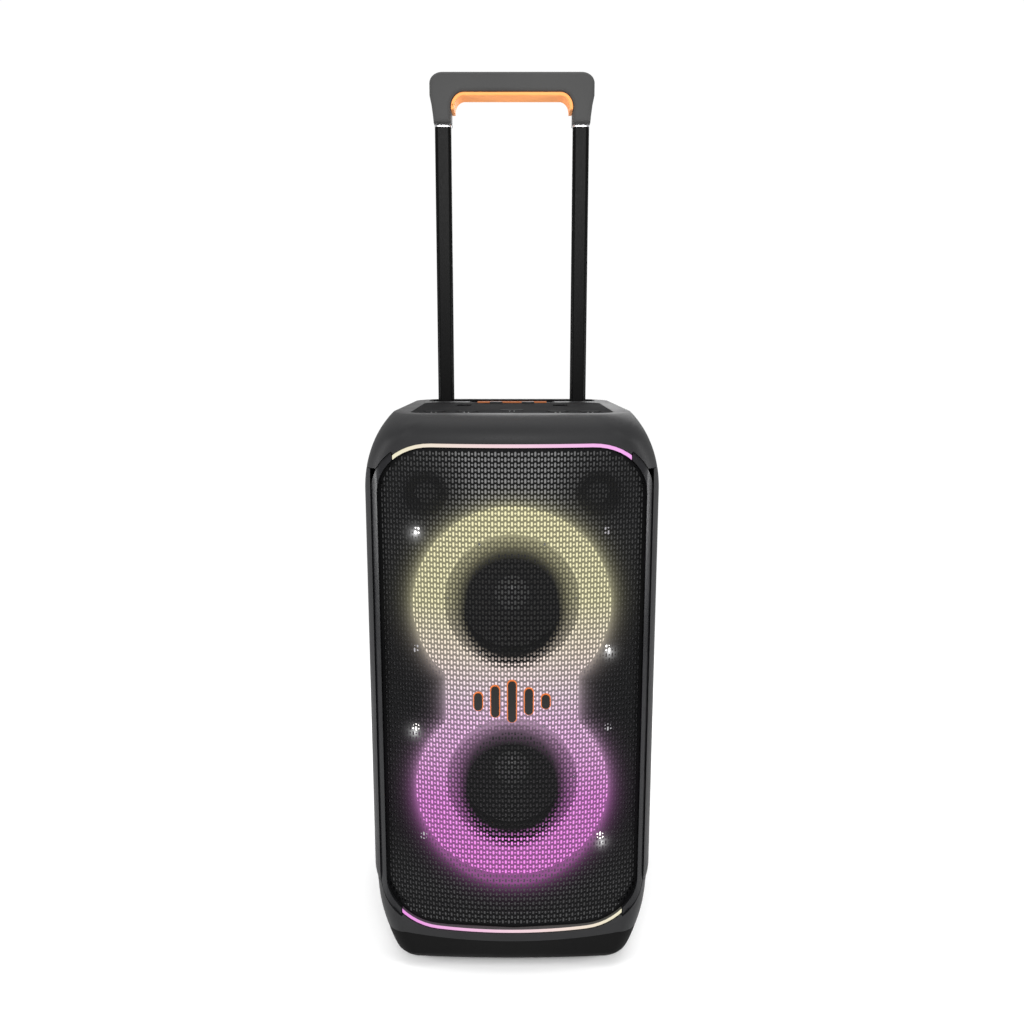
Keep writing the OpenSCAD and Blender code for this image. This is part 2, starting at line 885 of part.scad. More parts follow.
module electronics_boards() {
    color(board_green) place() {
        box(-66, 66, 300, 301.6, 300, 436);
        box(-66, 66, 268, 269.6, 446, 500);
    }
    color(steel) place() {
        for (x = [-50 : 8 : 50]) box(x, x + 3, 272, 290, 310, 420);
        box(-54, 57, 290, 299.8, 310, 420);
        box(-50, -10, 269.8, 300, 452, 492);
        for (x = [10, 34]) translate([x, 269.8, 472]) rotate([-90, 0, 0]) cylinder(r = 9, h = 32);
    }
}

// ---- Base ----

module wheel_hub(side) {
    color([0.14, 0.14, 0.14]) place() translate([side * wheel_x, wheel_d, wheel_z])
        rotate([0, side * 90, 0]) difference() {
            union() {
                cylinder(r = 12, h = wheel_w);
                translate([0, 0, 8]) cylinder(r = 30, h = wheel_w - 14);
                difference() {
                    cylinder(r = 30, h = wheel_w);
                    translate([0, 0, -1]) cylinder(r = 26, h = wheel_w + 2);
                }
            }
            translate([0, 0, -1]) cylinder(r = axle_r + 0.05, h = wheel_w - 1);
            for (a = [0 : 60 : 300]) rotate([0, 0, a]) translate([19, 0, -1]) cylinder(r = 5, h = 60);
        }
}

module wheel_hub_left() {
    wheel_hub(-1);
}

module wheel_hub_right() {
    wheel_hub(1);
}

module tyre(side) {
    color([0.05, 0.05, 0.05]) place() translate([side * wheel_x, wheel_d, wheel_z])
        rotate([0, side * 90, 0]) rotate_extrude($fn = 96) difference() {
            union() {
                translate([30, 0]) square([tyre_r - 33, wheel_w]);
                translate([30, 3]) square([tyre_r - 30, wheel_w - 6]);
                for (z = [3, wheel_w - 3]) translate([tyre_r - 3, z]) circle(3, $fn = 32);
            }
            for (i = [1 : 3]) translate([tyre_r, wheel_w * i / 4]) circle(1, $fn = 16);
        }
}

module tyre_left() {
    tyre(-1);
}

module tyre_right() {
    tyre(1);
}

module axle() {
    color(steel) place() translate([-wheel_x - wheel_w + 3, wheel_d, wheel_z]) rotate([0, 90, 0])
        cylinder(r = axle_r, h = 2 * (wheel_x + wheel_w - 3));
}

foot_places = [[-90, 56], [90, 56], [-58, 320], [58, 320]];

module rubber_feet() {
    color([0.04, 0.04, 0.04]) place() for (p = foot_places) {
        translate([p[0], p[1], 0]) cylinder(r = 13, h = 1);
        translate([p[0], p[1], 1]) cylinder(r = 14, h = foot_h - 1);
    }
}

module screws() {
    color(steel) place() {
        each_woofer() for (a = [30 : 60 : 330])
            rotate([0, a, 0]) translate([0, flange_d - 1.45, 72.9]) rotate([-90, 0, 0])
                cylinder(r = 2, h = 1.4, $fn = 32);
        for (x = [-1, 1], z = [128, 222, 306, 436, 500, 586])
            translate([x * 96, rear_d + 0.1, z]) rotate([-90, 0, 0])
                cylinder(r = 3.4, h = 1.2, $fn = 32);
    }
}

enclosure();
front_baffle();
side_panel_left();
side_panel_right();
top_cap();
bottom_cap();
rear_cover();
grille();
grille_bezels();
light_strip_top();
light_strip_bottom();
ring_light_diffuser();
ring_light_board();
strobe_leds();
badge_bars();
badge_outline();
woofer_baskets();
woofer_surrounds();
woofer_spiders();
woofer_magnets();
cone_upper();
cone_lower();
dust_cap_upper();
dust_cap_lower();
tweeter_frames();
tweeter_domes();
bass_port();
control_deck();
control_board();
deck_accent();
light_button();
bass_button();
play_button();
pairing_button();
power_button();
knob_left();
knob_right();
grip_well();
handle_guides();
handle_poles();
pole_collars();
handle_grip();
grip_liner();
release_button();
battery_pack();
battery_tray();
battery_door();
door_latch();
io_panel();
rear_sockets();
gain_knob_left();
gain_knob_right();
electronics_boards();
wheel_hub_left();
wheel_hub_right();
tyre_left();
tyre_right();
axle();
rubber_feet();
screws();
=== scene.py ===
import json
import math

import bmesh
import bpy
import numpy as np
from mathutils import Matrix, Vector
from mathutils.geometry import delaunay_2d_cdt


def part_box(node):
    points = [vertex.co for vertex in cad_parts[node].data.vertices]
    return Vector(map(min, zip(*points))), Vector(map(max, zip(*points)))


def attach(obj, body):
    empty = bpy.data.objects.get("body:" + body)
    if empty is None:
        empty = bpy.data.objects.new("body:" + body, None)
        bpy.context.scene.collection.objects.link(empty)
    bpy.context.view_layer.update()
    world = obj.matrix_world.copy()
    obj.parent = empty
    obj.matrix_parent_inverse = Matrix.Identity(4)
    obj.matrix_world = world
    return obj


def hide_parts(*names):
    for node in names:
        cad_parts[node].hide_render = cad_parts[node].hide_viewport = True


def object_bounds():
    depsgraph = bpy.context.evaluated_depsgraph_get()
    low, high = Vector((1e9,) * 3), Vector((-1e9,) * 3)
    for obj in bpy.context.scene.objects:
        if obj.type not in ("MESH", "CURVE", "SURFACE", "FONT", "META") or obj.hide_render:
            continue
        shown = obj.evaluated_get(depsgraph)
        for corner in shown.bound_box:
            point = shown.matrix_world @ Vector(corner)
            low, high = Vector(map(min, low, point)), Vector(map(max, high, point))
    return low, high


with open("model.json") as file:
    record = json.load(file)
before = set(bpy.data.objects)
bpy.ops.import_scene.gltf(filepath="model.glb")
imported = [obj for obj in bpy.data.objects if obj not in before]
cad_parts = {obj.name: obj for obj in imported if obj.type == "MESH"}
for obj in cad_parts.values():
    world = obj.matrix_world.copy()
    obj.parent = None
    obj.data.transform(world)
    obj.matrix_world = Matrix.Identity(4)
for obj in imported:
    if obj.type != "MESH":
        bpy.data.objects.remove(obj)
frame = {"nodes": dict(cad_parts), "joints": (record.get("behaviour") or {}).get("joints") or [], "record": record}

# Looks of the party speaker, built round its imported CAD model. Shapes are worked out in
# millimetres: x to the right, d the depth behind the front plane, z up. The frame is in metres.
MM = 0.001
CAD_LOW, CAD_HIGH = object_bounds()
FRONT = CAD_LOW.y / MM


def span(node):
    """A CAD node's lowest and highest corner as (x, depth, z) in millimetres."""
    return [Vector((v.x / MM, v.y / MM - FRONT, v.z / MM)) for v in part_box(node)]


def to_frame(points):
    """Rows of (x, depth, z) in millimetres as points of the frame."""
    return (np.array(points, float).reshape(-1, 3) + [0, FRONT, 0]) * MM


# ---- Measures of the body, from the CAD nodes ----

HALF = span("side_panel_right")[1].x
REAR_D = span("rear_cover")[1].y
DECK_Z = span("control_deck")[1].z
TOP_SEAM = span("top_cap")[0].z
LOW_SEAM = span("bottom_cap")[1].z
BASE_Z = span("bottom_cap")[0].z
WALL = 4
LENS_R = 460  # radius of the bowed front, seen from above
TOP_ARC = (138, 574.5)  # radius and height of the arc that closes the body's outline at the top
LOW_ARC = (162, 100)  # the same at the bottom
CHIN_HALF = 163.2  # half width at the height of that arc
TAPER_TOP = 118  # the side panels narrow below this height to meet the chin
CORNER_W, CORNER_D = 26, 34
REAR_R, REAR_INSET = 50, 4  # radius of the rear corners, and how far they stand in
BROW_START, BROW_DEPTH = 30, 27  # height over the seam where the brow starts, and its depth
BROW_TURN = 0.97  # sine of the angle that the brow's curve turns through
HOOD_ROUNDER = 24  # how much the hood's corners grow towards the deck
CREASE_Z = 44  # where the chin starts to slope back
CHIN_SLOPE, CHIN_EDGE, CHIN_STRAIGHT = 0.31, 14, 20  # slope, depth of its round edge, and its start
CHIN_FLAT, CHIN_FLAT_OVER = 0.7, 25  # share of the bow lost below the crease, and over what height

GRILLE_LOW, GRILLE_HIGH = span("grille")
GRILLE_HALF = GRILLE_HIGH.x
GRILLE_CORNER = (61, 52)
GRILLE_T = 1.2
STRIP_T = 4.4
STRIP_HALF = span("light_strip_top")[1].x
BEZEL_W = 8


def arc(cx, cy, rx, ry, start, end, count):
    """Points on an ellipse's arc, from start to end in degrees."""
    a = np.radians(np.linspace(start, end, count))
    return np.stack([cx + rx * np.cos(a), cy + ry * np.sin(a)], 1)


def half_at(z):
    """Half width of the body at height z."""
    if z > TOP_ARC[1]:
        return HALF - TOP_ARC[0] + math.sqrt(TOP_ARC[0] ** 2 - (z - TOP_ARC[1]) ** 2)
    if z < LOW_ARC[1]:
        return CHIN_HALF - LOW_ARC[0] + math.sqrt(LOW_ARC[0] ** 2 - (LOW_ARC[1] - z) ** 2)
    short = max(0.0, TAPER_TOP - z) / (TAPER_TOP - LOW_ARC[1])
    return HALF - (HALF - CHIN_HALF) * short ** 2


def bow(x, f):
    """Depth of the bowed front at x, where its middle is at depth f."""
    return f + LENS_R - np.sqrt(LENS_R ** 2 - np.square(x))


def brow_depth(z):
    """How far the hood's brow leans back at height z."""
    t = max(0.0, (z - TOP_SEAM - BROW_START) / (DECK_Z - TOP_SEAM - BROW_START))
    full = 1 - math.sqrt(1 - BROW_TURN ** 2)
    return BROW_DEPTH * (1 - math.sqrt(1 - (BROW_TURN * t) ** 2)) / full


def chin_depth(z):
    """How far the chin stands back at height z: a 1 mm step, a slope, then a round edge."""
    s = max(0.0, CREASE_Z - z)
    edge = CHIN_EDGE * (max(0.0, s - CHIN_STRAIGHT) / 20) ** 2.4
    return min(1.0, 2.5 * s) + CHIN_SLOPE * s + edge


def plan(w, f, b, corner=(CORNER_W, CORNER_D), flat=0.0):
    """Body outline seen from above, as rows of x and depth: half width w, front at f, back at b.
    flat is the share of the bow that the front has lost."""
    corner_w, corner_d = corner
    front_x = np.linspace(0, w - corner_w, 16)[:-1]
    corner_start = float(f + bow(w - corner_w, 0) * (1 - flat))
    side = np.linspace(0, 1, 7)[1:-1]
    side_from = np.array([w, corner_start + corner_d])
    side_to = np.array([w - REAR_INSET, b - REAR_R])
    right = np.concatenate([
        np.stack([front_x, f + bow(front_x, 0) * (1 - flat)], 1),
        arc(w - corner_w, corner_start + corner_d, corner_w, corner_d, -90, 0, 15),
        side_from + side[:, None] * (side_to - side_from),
        arc(w - REAR_INSET - REAR_R, b - REAR_R, REAR_R, REAR_R, 0, 90, 15),
    ])
    return np.concatenate([right, right[:0:-1] * [-1, 1]])


def opening_half(low_grow, side_grow):
    """Right half of an outline round the grille, bottom to top, wider beside the lit lines."""
    rx, rz = GRILLE_CORNER
    end_x = STRIP_HALF + 0.5
    rows = []
    for centre_z, sign in ((GRILLE_LOW.z + rz, -1), (GRILLE_HIGH.z - rz, 1)):
        near, far = (arc(GRILLE_HALF - rx, centre_z, rx + grow, rz + grow, sign * 90, 0, 33)
                     for grow in (low_grow, side_grow))
        part = np.concatenate([near[near[:, 0] < end_x], far[far[:, 0] > end_x]])
        rows.append(part if sign < 0 else part[::-1])
    return np.concatenate(rows)


def whole(half_rows):
    """A right half, bottom to top, made into a closed outline that runs anticlockwise."""
    return np.concatenate([half_rows, half_rows[::-1] * [-1, 1]])


def rounded_rect(cx, cy, w, h, r, steps=8):
    """A rounded rectangle's outline, anticlockwise."""
    corners = enumerate(((1, 1), (-1, 1), (-1, -1), (1, -1)))
    return np.concatenate([arc(cx + sx * (w / 2 - r), cy + sy * (h / 2 - r), r, r,
                               90 * i, 90 * i + 90, steps + 1) for i, (sx, sy) in corners])


# ---- Mesh helpers ----

def linked(name, data):
    """A new object of the scene."""
    thing = bpy.data.objects.new(name, data)
    bpy.context.scene.collection.objects.link(thing)
    return thing


def smoothed(mesh, angle):
    """Shades a mesh smooth, but for edges sharper than angle degrees."""
    mesh.polygons.foreach_set("use_smooth", [True] * len(mesh.polygons))
    mesh.set_sharp_from_angle(angle=math.radians(angle))
    return mesh


def make_object(name, verts, faces, smooth=30):
    """A mesh object from points in the frame."""
    mesh = bpy.data.meshes.new(name)
    mesh.from_pydata([tuple(v) for v in verts], [], [tuple(f) for f in faces])
    mesh.validate()
    return linked(name, smoothed(mesh, smooth))


def loft(rings, closed_ends=True):
    """Points and faces of a skin through rings of the same number of points."""
    n = len(rings[0])
    verts = np.concatenate(rings)
    faces = []
    for k in range(len(rings) - 1):
        for i in range(n):
            j = (i + 1) % n
            faces.append((k * n + i, k * n + j, (k + 1) * n + j, (k + 1) * n + i))
    if closed_ends:
        faces.append(tuple(range(n))[::-1])
        faces.append(tuple(range((len(rings) - 1) * n, len(rings) * n)))
    return verts, faces


def level(outline, z):
    """An outline of x and depth as a ring at height z."""
    return np.insert(outline, 2, z, axis=1)


def upright(outline, d):
    """An outline of x and z as a ring at depth d."""
    return np.insert(outline, 1, d, axis=1)


def recalculated(piece, weld=0.0):
    """Turns a mesh's normals outwards, after joining points closer than weld millimetres."""
    bm = bmesh.new()
    bm.from_mesh(piece.data)
    if weld:
        bmesh.ops.remove_doubles(bm, verts=bm.verts, dist=weld * MM)
    bmesh.ops.recalc_face_normals(bm, faces=bm.faces)
    bm.to_mesh(piece.data)
    bm.free()
    return piece


def closed_shell(name, rings):
    """A closed object through rings in millimetres."""
    verts, faces = loft(rings)
    return recalculated(make_object(name, to_frame(verts), faces))


def evaluated(piece, smooth=30):
    """Replaces a piece's mesh with what its modifiers or its curve make of it."""
    graph = bpy.context.evaluated_depsgraph_get()
    mesh = bpy.data.meshes.new_from_object(piece.evaluated_get(graph))
    name = piece.name
    bpy.data.objects.remove(piece)
    return linked(name, smoothed(mesh, smooth))


def carve(piece, steps, smooth=30):
    """Adds or cuts away other closed pieces, in turn: steps holds (operation, other piece)."""
    for operation, other in steps:
        change = piece.modifiers.new("carve", "BOOLEAN")
        change.operation = operation
        change.solver = "EXACT"
        change.object = other
    piece = evaluated(piece, smooth)
    for _, other in steps:
        bpy.data.objects.remove(other)
    return piece


def finish_piece(piece, body, slot, replaces=(), finish=None):
    """Puts a new piece on its body and gives it its material, which is the slot's unless finish
    names another; hides the CAD nodes that it stands for."""
    piece.data.materials.clear()
    piece.data.materials.append(MATERIALS[finish or slot])
    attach(piece, body)
    if replaces:
        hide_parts(*replaces)
    return piece


def islands(node):
    """Lowest and highest corner of each separate solid of a CAD node, in millimetres."""
    bm = bmesh.new()
    bm.from_mesh(frame["nodes"][node].data)
    bmesh.ops.remove_doubles(bm, verts=bm.verts, dist=0.01 * MM)
    left, found = set(bm.verts), []
    while left:
        queue, group = [left.pop()], []
        while queue:
            v = queue.pop()
            group.append(v.co.copy())
            for e in v.link_edges:
                w = e.other_vert(v)
                if w in left:
                    left.remove(w)
                    queue.append(w)
        co = np.array(group) / MM - [0, FRONT, 0]
        found.append((co.min(0), co.max(0)))
    bm.free()
    return sorted(found, key=lambda b: (round(b[0][2]), round(b[0][0]), round(b[0][1])))


def centres(node):
    """The middles of a CAD node's separate solids, as (x, depth, z) in millimetres."""
    return [(low + high) / 2 for low, high in islands(node)]


def turned(profile, centre, axis, steps=48):
    """A closed turned shape: profile rows of (radius, place along the axis), axis 0 being x."""
    a = np.linspace(0, 2 * math.pi, steps, endpoint=False)
    u, v = [i for i in range(3) if i != axis]
    rings = []
    for r, t in profile:
        ring = np.zeros((steps, 3))
        ring[:, u], ring[:, v], ring[:, axis] = r * np.cos(a), r * np.sin(a), t
        rings.append(ring + np.array(centre))
    return loft(rings)


def merged(name, shapes, smooth=30):
    """One object from several (points, faces) shapes in millimetres."""
    verts, faces, base = [], [], 0
    for v, f in shapes:
        verts.append(v)
        faces += [tuple(i + base for i in face) for face in f]
        base += len(v)
    return recalculated(make_object(name, to_frame(np.concatenate(verts)), faces, smooth))


# ---- Materials ----

def tone(r, g, b):
    """A screen colour, 0 to 255, as linear light."""
    linear = [((c / 255 + 0.055) / 1.055) ** 2.4 if c > 10 else c / 3295 for c in (r, g, b)]
    return (*linear, 1)


RING_SPAN = [v.z for v in span("ring_light_diffuser")]
RING_R, RING_HOLE_R = span("ring_light_diffuser")[1].x, 76
RING_OUTER_Z = (RING_SPAN[0] + RING_R, RING_SPAN[1] - RING_R)
RING_HOLE_Z = (236, 452)
# The ring light's glow on the grille and the parts behind it, which are no lamps, is painted into their materials
# as emission; these set how that painted light spreads.
WAIST_UP = 80  # half height of the straight part between its two circles
SPILL_OUT = 6.5  # millimetres in which its light fades to a third outside it
SPILL_IN = (7, 25)  # how far it reaches into an opening, at its lowest point and in its middle
SPILL_RIM = 0.65  # its share at the opening's edge
SPILL_DEPTH = (60, 70)  # depths between which it ends
STROBE_FADE = 3.2  # the same for a strobe light
STRIP_GLOW = 0.92  # strength of the lit lines
RING_STOPS = [
    (0.00, tone(254, 142, 244)), (0.22, tone(254, 156, 248)), (0.42, tone(254, 204, 248)),
    (0.52, tone(254, 230, 242)), (0.62, tone(254, 238, 222)), (0.76, tone(248, 242, 196)),
    (1.00, tone(246, 240, 190))]  # magenta below, pale pink in the middle, warm yellow above


class Paint:
    """A Principled material put together from procedural patterns in object coordinates."""

    def __init__(self, name, specular=0.5, **sockets):
        self.material = bpy.data.materials.new(name)
        self.material.use_nodes = True
        self.tree = self.material.node_tree
        self.shader = self.tree.nodes["Principled BSDF"]
        self.shader.inputs["Specular IOR Level"].default_value = specular
        for socket, value in sockets.items():
            self.shader.inputs[socket.replace("_", " ")].default_value = value
        self.coords = self.add("TexCoord", output="Object")

    def add(self, kind, inputs=(), output=0, **settings):
        node = self.tree.nodes.new("ShaderNode" + kind)
        for key, value in settings.items():
            setattr(node, key, value)
        for socket, value in dict(inputs).items():
            self.plug(node.inputs[socket], value)
        return node.outputs[output]

    def plug(self, socket, value):
        if isinstance(value, bpy.types.NodeSocket):
            self.tree.links.new(value, socket)
        else:
            socket.default_value = value

    def set(self, socket, value):
        self.plug(self.shader.inputs[socket], value)

    def rough(self, noise, low, high):
        self.set("Roughness", self.vary(noise, low, high))

    def stretched(self, x, y, z):
        return self.add("Mapping", {"Vector": self.coords, "Scale": (x, y, z)})

    def noise(self, scale, detail=3.0, vector=None):
        inputs = {"Vector": vector or self.coords, "Scale": scale, "Detail": detail}
        return self.add("TexNoise", inputs)

    def cells(self, scale):
        return self.add("TexVoronoi", {"Vector": self.coords, "Scale": scale})

    def remap(self, value, a, b, c, d):
        names = ("From Min", "From Max", "To Min", "To Max")
        return self.add("MapRange", {"Value": value, **dict(zip(names, (a, b, c, d)))})

    def vary(self, noise, low, high):
        """Spreads a noise, which stays between about 0.3 and 0.7, from low to high."""
        return self.remap(noise, 0.3, 0.7, low, high)

    def calc(self, operation, a, b=0.0):
        return self.add("Math", {0: a, 1: b}, operation=operation)

    def times(self, a, b):
        return self.calc("MULTIPLY", a, b)

    def less(self, a, b):
        return self.calc("SUBTRACT", a, b)

    def mix(self, factor, a, b):
        return self.add("Mix", {0: factor, 6: a, 7: b}, output=2, data_type="RGBA")

    def ramp(self, value, stops):
        node = self.tree.nodes.new("ShaderNodeValToRGB")
        self.tree.links.new(value, node.inputs[0])
        while len(node.color_ramp.elements) < len(stops):
            node.color_ramp.elements.new(0.5)
        for element, (place, colour) in zip(node.color_ramp.elements, stops):
            element.position = place
            element.color = colour
        return node.outputs[0]

    def place(self, axis):
        """Where a point stands on an axis, in metres."""
        return self.add("SeparateXYZ", {0: self.coords}, output=axis)

    def between(self, value, low, high, start=0.0, end=1.0):
        """Goes from start to end while a length goes from low to high, given in millimetres."""
        return self.remap(value, low * MM, high * MM, start, end)

    def away(self, x, z):
        """Distance from the line along the depth through x and z, given in millimetres."""
        flat = self.add("CombineXYZ", {0: self.place(0), 2: self.place(2)})
        ends = {0: flat, 1: (x * MM, 0, z * MM)}
        return self.add("VectorMath", ends, output=1, operation="DISTANCE")

    def fading(self, distance, fall):
        """1 at no distance, and a third as much for every fall millimetres more."""
        return self.calc("EXPONENT", self.times(distance, -1 / (fall * MM)))

    def spill(self):
        """Mask of the ring light's painted glow: 1 over it, less outside it, in its openings and behind it."""
        circles = [self.less(self.away(0, z), RING_R * MM) for z in RING_OUTER_Z]
        waist_z = sum(RING_OUTER_Z) / 2
        across = self.less(self.calc("ABSOLUTE", self.place(0)), RING_HOLE_R * MM)
        up = self.calc("ABSOLUTE", self.less(self.place(2), waist_z * MM))
        waist = self.calc("MAXIMUM", across, self.less(up, WAIST_UP * MM))
        outside = self.calc("MINIMUM", self.calc("MINIMUM", *circles), waist)
        amount = self.fading(self.calc("MAXIMUM", outside, 0.0), SPILL_OUT)
        for z in RING_HOLE_Z:
            deep = self.less(RING_HOLE_R * MM, self.away(0, z))
            reach = self.between(self.place(2), z - RING_HOLE_R, z, *(r * MM for r in SPILL_IN))
            dim = self.less(1.0, self.remap(deep, 0.0, reach, SPILL_RIM, 0.0))
            lost = self.times(self.calc("GREATER_THAN", deep, 0.0), dim)
            amount = self.times(amount, self.less(1.0, lost))
        shallow = self.between(self.place(1), *(FRONT + d for d in SPILL_DEPTH), 1.0, 0.0)
        return self.times(amount, shallow)

    def glow(self, share, base=(0, 0, 0, 1), points=()):
        """Paints light into the surface as emission: a share of the ring light's colour near it, and white glow
        round the points given.
        """
        colours = self.ramp(self.between(self.place(2), *RING_SPAN), RING_STOPS)
        light = self.mix(self.times(self.spill(), share), base, colours)
        for x, _, z in points:
            light = self.mix(self.fading(self.away(x, z), STROBE_FADE), light, (1, 1, 1, 1))
        self.set("Emission Color", light)
        self.shader.inputs["Emission Strength"].default_value = 1.0

    def bevel(self, radius):
        return self.add("Bevel", {"Radius": radius * MM}, samples=4)

    def edges(self, radius):
        """1 along the solid's sharp edges, 0 away from them."""
        rounded = self.bevel(radius)
        flat = self.add("NewGeometry", output="Normal")
        ends = {0: rounded, 1: flat}
        dot = self.add("VectorMath", ends, output=1, operation="DOT_PRODUCT")
        return self.remap(dot, 1.0, 0.8, 0.0, 1.0)

    def bump(self, height, distance, strength, round_edges=0.0):
        """A bump of a depth in millimetres, over edges rounded by a radius in millimetres."""
        inputs = {"Height": height, "Distance": distance * MM, "Strength": strength}
        if round_edges:
            inputs["Normal"] = self.bevel(round_edges)
        self.set("Normal", self.add("Bump", inputs))


def moulded(name, colour, worn, rough, specular=0.35, grain=0.6, depth=0.04):
    """Moulded plastic: patchy sheen, paler edges, and a grain with its size and depth in mm."""
    colour, worn = tone(*colour), tone(*worn)
    paint = Paint(name, specular)
    patches = paint.noise(14.0, 4.0)
    blotches = paint.remap(paint.noise(220.0), 0.35, 0.7, 0.1, 0.8)
    rub = paint.times(paint.edges(0.9), blotches)
    dusty = paint.mix(paint.remap(patches, 0.3, 0.75, 0.0, 0.35), colour, worn)
    paint.set("Base Color", paint.mix(rub, dusty, worn))
    fine = paint.vary(paint.noise(900.0), -0.05, 0.05)
    sheen = paint.vary(patches, rough - 0.05, rough + 0.06)
    paint.set("Roughness", paint.calc("ADD", sheen, fine))
    pits = paint.calc("ADD", paint.cells(1 / (grain * MM)), paint.noise(0.6 / (grain * MM), 2.0))
    paint.bump(pits, depth, 0.7, 0.4)
    return paint


def rubber(name, rough=0.75):
    """Black rubber: matt, faintly mottled, with a fine skin and dusty edges."""
    paint = Paint(name, 0.25)
    dust = paint.times(paint.edges(1.2), paint.noise(150.0))
    dark = paint.mix(paint.noise(40.0), tone(16, 16, 17), tone(30, 30, 30))
    paint.set("Base Color", paint.mix(dust, dark, tone(74, 72, 70)))
    paint.rough(paint.noise(80.0), rough - 0.1, rough + 0.1)
    paint.bump(paint.noise(1800.0, 2.0), 0.05, 0.8, 0.5)
    return paint


def metal(name, colour, rough, brushed=(1, 1, 1), metallic=1.0, specular=0.5):
    """Metal with brushing stretched along one axis and brighter worn edges."""
    colour = tone(*colour)
    paint = Paint(name, specular, Metallic=metallic)
    lines = paint.noise(600.0, 3.0, paint.stretched(*brushed))
    smudges = paint.noise(25.0, 4.0)
    dull = [c * 0.8 for c in colour[:3]] + [1]
    bright = [min(1, c * 1.5 + 0.02) for c in colour[:3]] + [1]
    worn = paint.times(paint.edges(0.6), paint.noise(300.0))
    base = paint.mix(paint.vary(smudges, 0.0, 0.5), colour, dull)
    paint.set("Base Color", paint.mix(worn, base, bright))
    paint.rough(lines, rough - 0.07, rough + 0.1)
    paint.bump(lines, 0.02, 0.5, 0.3)
    return paint


def powder_coat(name):
    """Near-black powder coat on the perforated sheet: an orange-peel skin, dull and even."""
    paint = Paint(name, 0.08)
    peel = paint.noise(1400.0, 2.0)
    paint.set("Base Color", paint.mix(paint.noise(12.0, 4.0), tone(6, 6, 7), tone(12, 12, 13)))
    paint.rough(peel, 0.5, 0.68)
    paint.bump(peel, 0.03, 0.8)
    return paint


def fibre_cone(name):
    """Pressed fibre cone with a thin coat: short fibres and faint rings of shine."""
    paint = Paint(name, 0.4)
    fibres = paint.noise(500.0, 6.0, paint.stretched(1.0, 0.4, 2.5))
    paint.set("Base Color", paint.mix(fibres, tone(30, 30, 32), tone(62, 61, 62)))
    paint.rough(fibres, 0.4, 0.65)
    paint.bump(fibres, 0.15, 0.7)
    return paint


def woven(name, thread, gap, pitch):
    """Woven cloth: two crossed sets of threads, pitch in millimetres."""
    paint = Paint(name, Sheen_Weight=0.15)
    waves = []
    for axis in "XZ":
        waves.append(paint.add("TexWave", {
            "Vector": paint.coords, "Scale": 0.314 / (pitch * MM), "Distortion": 0.4,
            "Detail Scale": 3.0}, output=1, bands_direction=axis))
    weave = paint.times(*waves)
    paint.set("Base Color", paint.mix(weave, gap, thread))
    paint.rough(paint.noise(60.0), 0.75, 0.95)
    paint.bump(weave, 0.2, 0.8)
    return paint


def circuit_board(name):
    """Solder mask over faint copper tracks, with small pads."""
    paint = Paint(name, 0.5)
    tracks = paint.add("TexBrick", {
        "Vector": paint.coords, "Scale": 160.0, "Mortar Size": 0.03, "Color1": (0, 0, 0, 1),
        "Color2": (0.3, 0.3, 0.3, 1), "Mortar": (1, 1, 1, 1)}, output=1)
    pads = paint.remap(paint.cells(260.0), 0.12, 0.08, 0.0, 1.0)
    green = paint.mix(tracks, tone(22, 78, 46), tone(48, 120, 72))
    paint.set("Base Color", paint.mix(pads, green, tone(190, 186, 176)))
    paint.set("Metallic", pads)
    paint.rough(paint.noise(300.0), 0.25, 0.45)
    paint.bump(tracks, 0.05, 0.6)
    return paint


def lit(name, axis, low, high, stops, strength, speckle=0.12):
    """A milky, slightly mottled light guide that glows, its colour changing along one axis."""
    paint = Paint(name, 0.15, Emission_Strength=strength)
    colours = paint.ramp(paint.between(paint.place(axis), low, high), stops)
    cloudy = paint.vary(paint.noise(90.0), 0.0, speckle)
    paint.set("Emission Color", paint.mix(cloudy, colours, (1, 1, 1, 1)))
    paint.set("Base Color", paint.mix(cloudy, (0.05, 0.05, 0.05, 1), (0.12, 0.12, 0.12, 1)))
    paint.rough(paint.noise(400.0), 0.3, 0.5)
    paint.bump(paint.noise(900.0), 0.03, 0.6)
    return paint


def strip_glow(name, *colours):
    """A lit line's light guide: it glows through its front face only."""
    stops = list(zip((0.0, 0.5, 1.0), colours))
    paint = lit(name, 0, -STRIP_HALF, STRIP_HALF, stops, STRIP_GLOW, 0.05)
    facing = paint.add("SeparateXYZ", {0: paint.add("NewGeometry", output="Normal")}, output=1)
    paint.set("Emission Strength", paint.remap(facing, -0.75, -0.6, STRIP_GLOW, 0.03))
    return paint


def baffle_painted_glow(paint):
    """Painted light on what shows through the grille: a grey glow painted as emission, stronger upwards, with less
    of it round the tweeters.
    """
    upper = paint.between(paint.place(2), 420, 570, 0.01, 0.22)
    sideways = paint.between(paint.calc("ABSOLUTE", paint.place(0)), 50, 125, 1.0, 0.22)
    lower = paint.between(paint.place(2), 90, 170, 0.04, 0.0)
    glow_amount = paint.calc("ADD", paint.times(upper, sideways), lower)
    for x, _, z in centres("tweeter_domes"):
        glow_amount = paint.times(glow_amount, paint.between(paint.away(x, z), 15, 60, 0.1))
    return glow_amount


CREAM = tone(238, 232, 196)
PALE_PINK = tone(244, 206, 220)
PINK = tone(248, 156, 244)
MAGENTA = tone(238, 132, 230)
WARM_WHITE, COLD_WHITE, UNLIT_GLINT_GREY = tone(255, 250, 240), tone(250, 250, 255), tone(120, 118, 122)
STROBES = centres("strobe_leds")
LIT_STROBES = [i for i, (x, _, _) in enumerate(STROBES) if (x < 0) == (i // 2 % 2 == 1)]

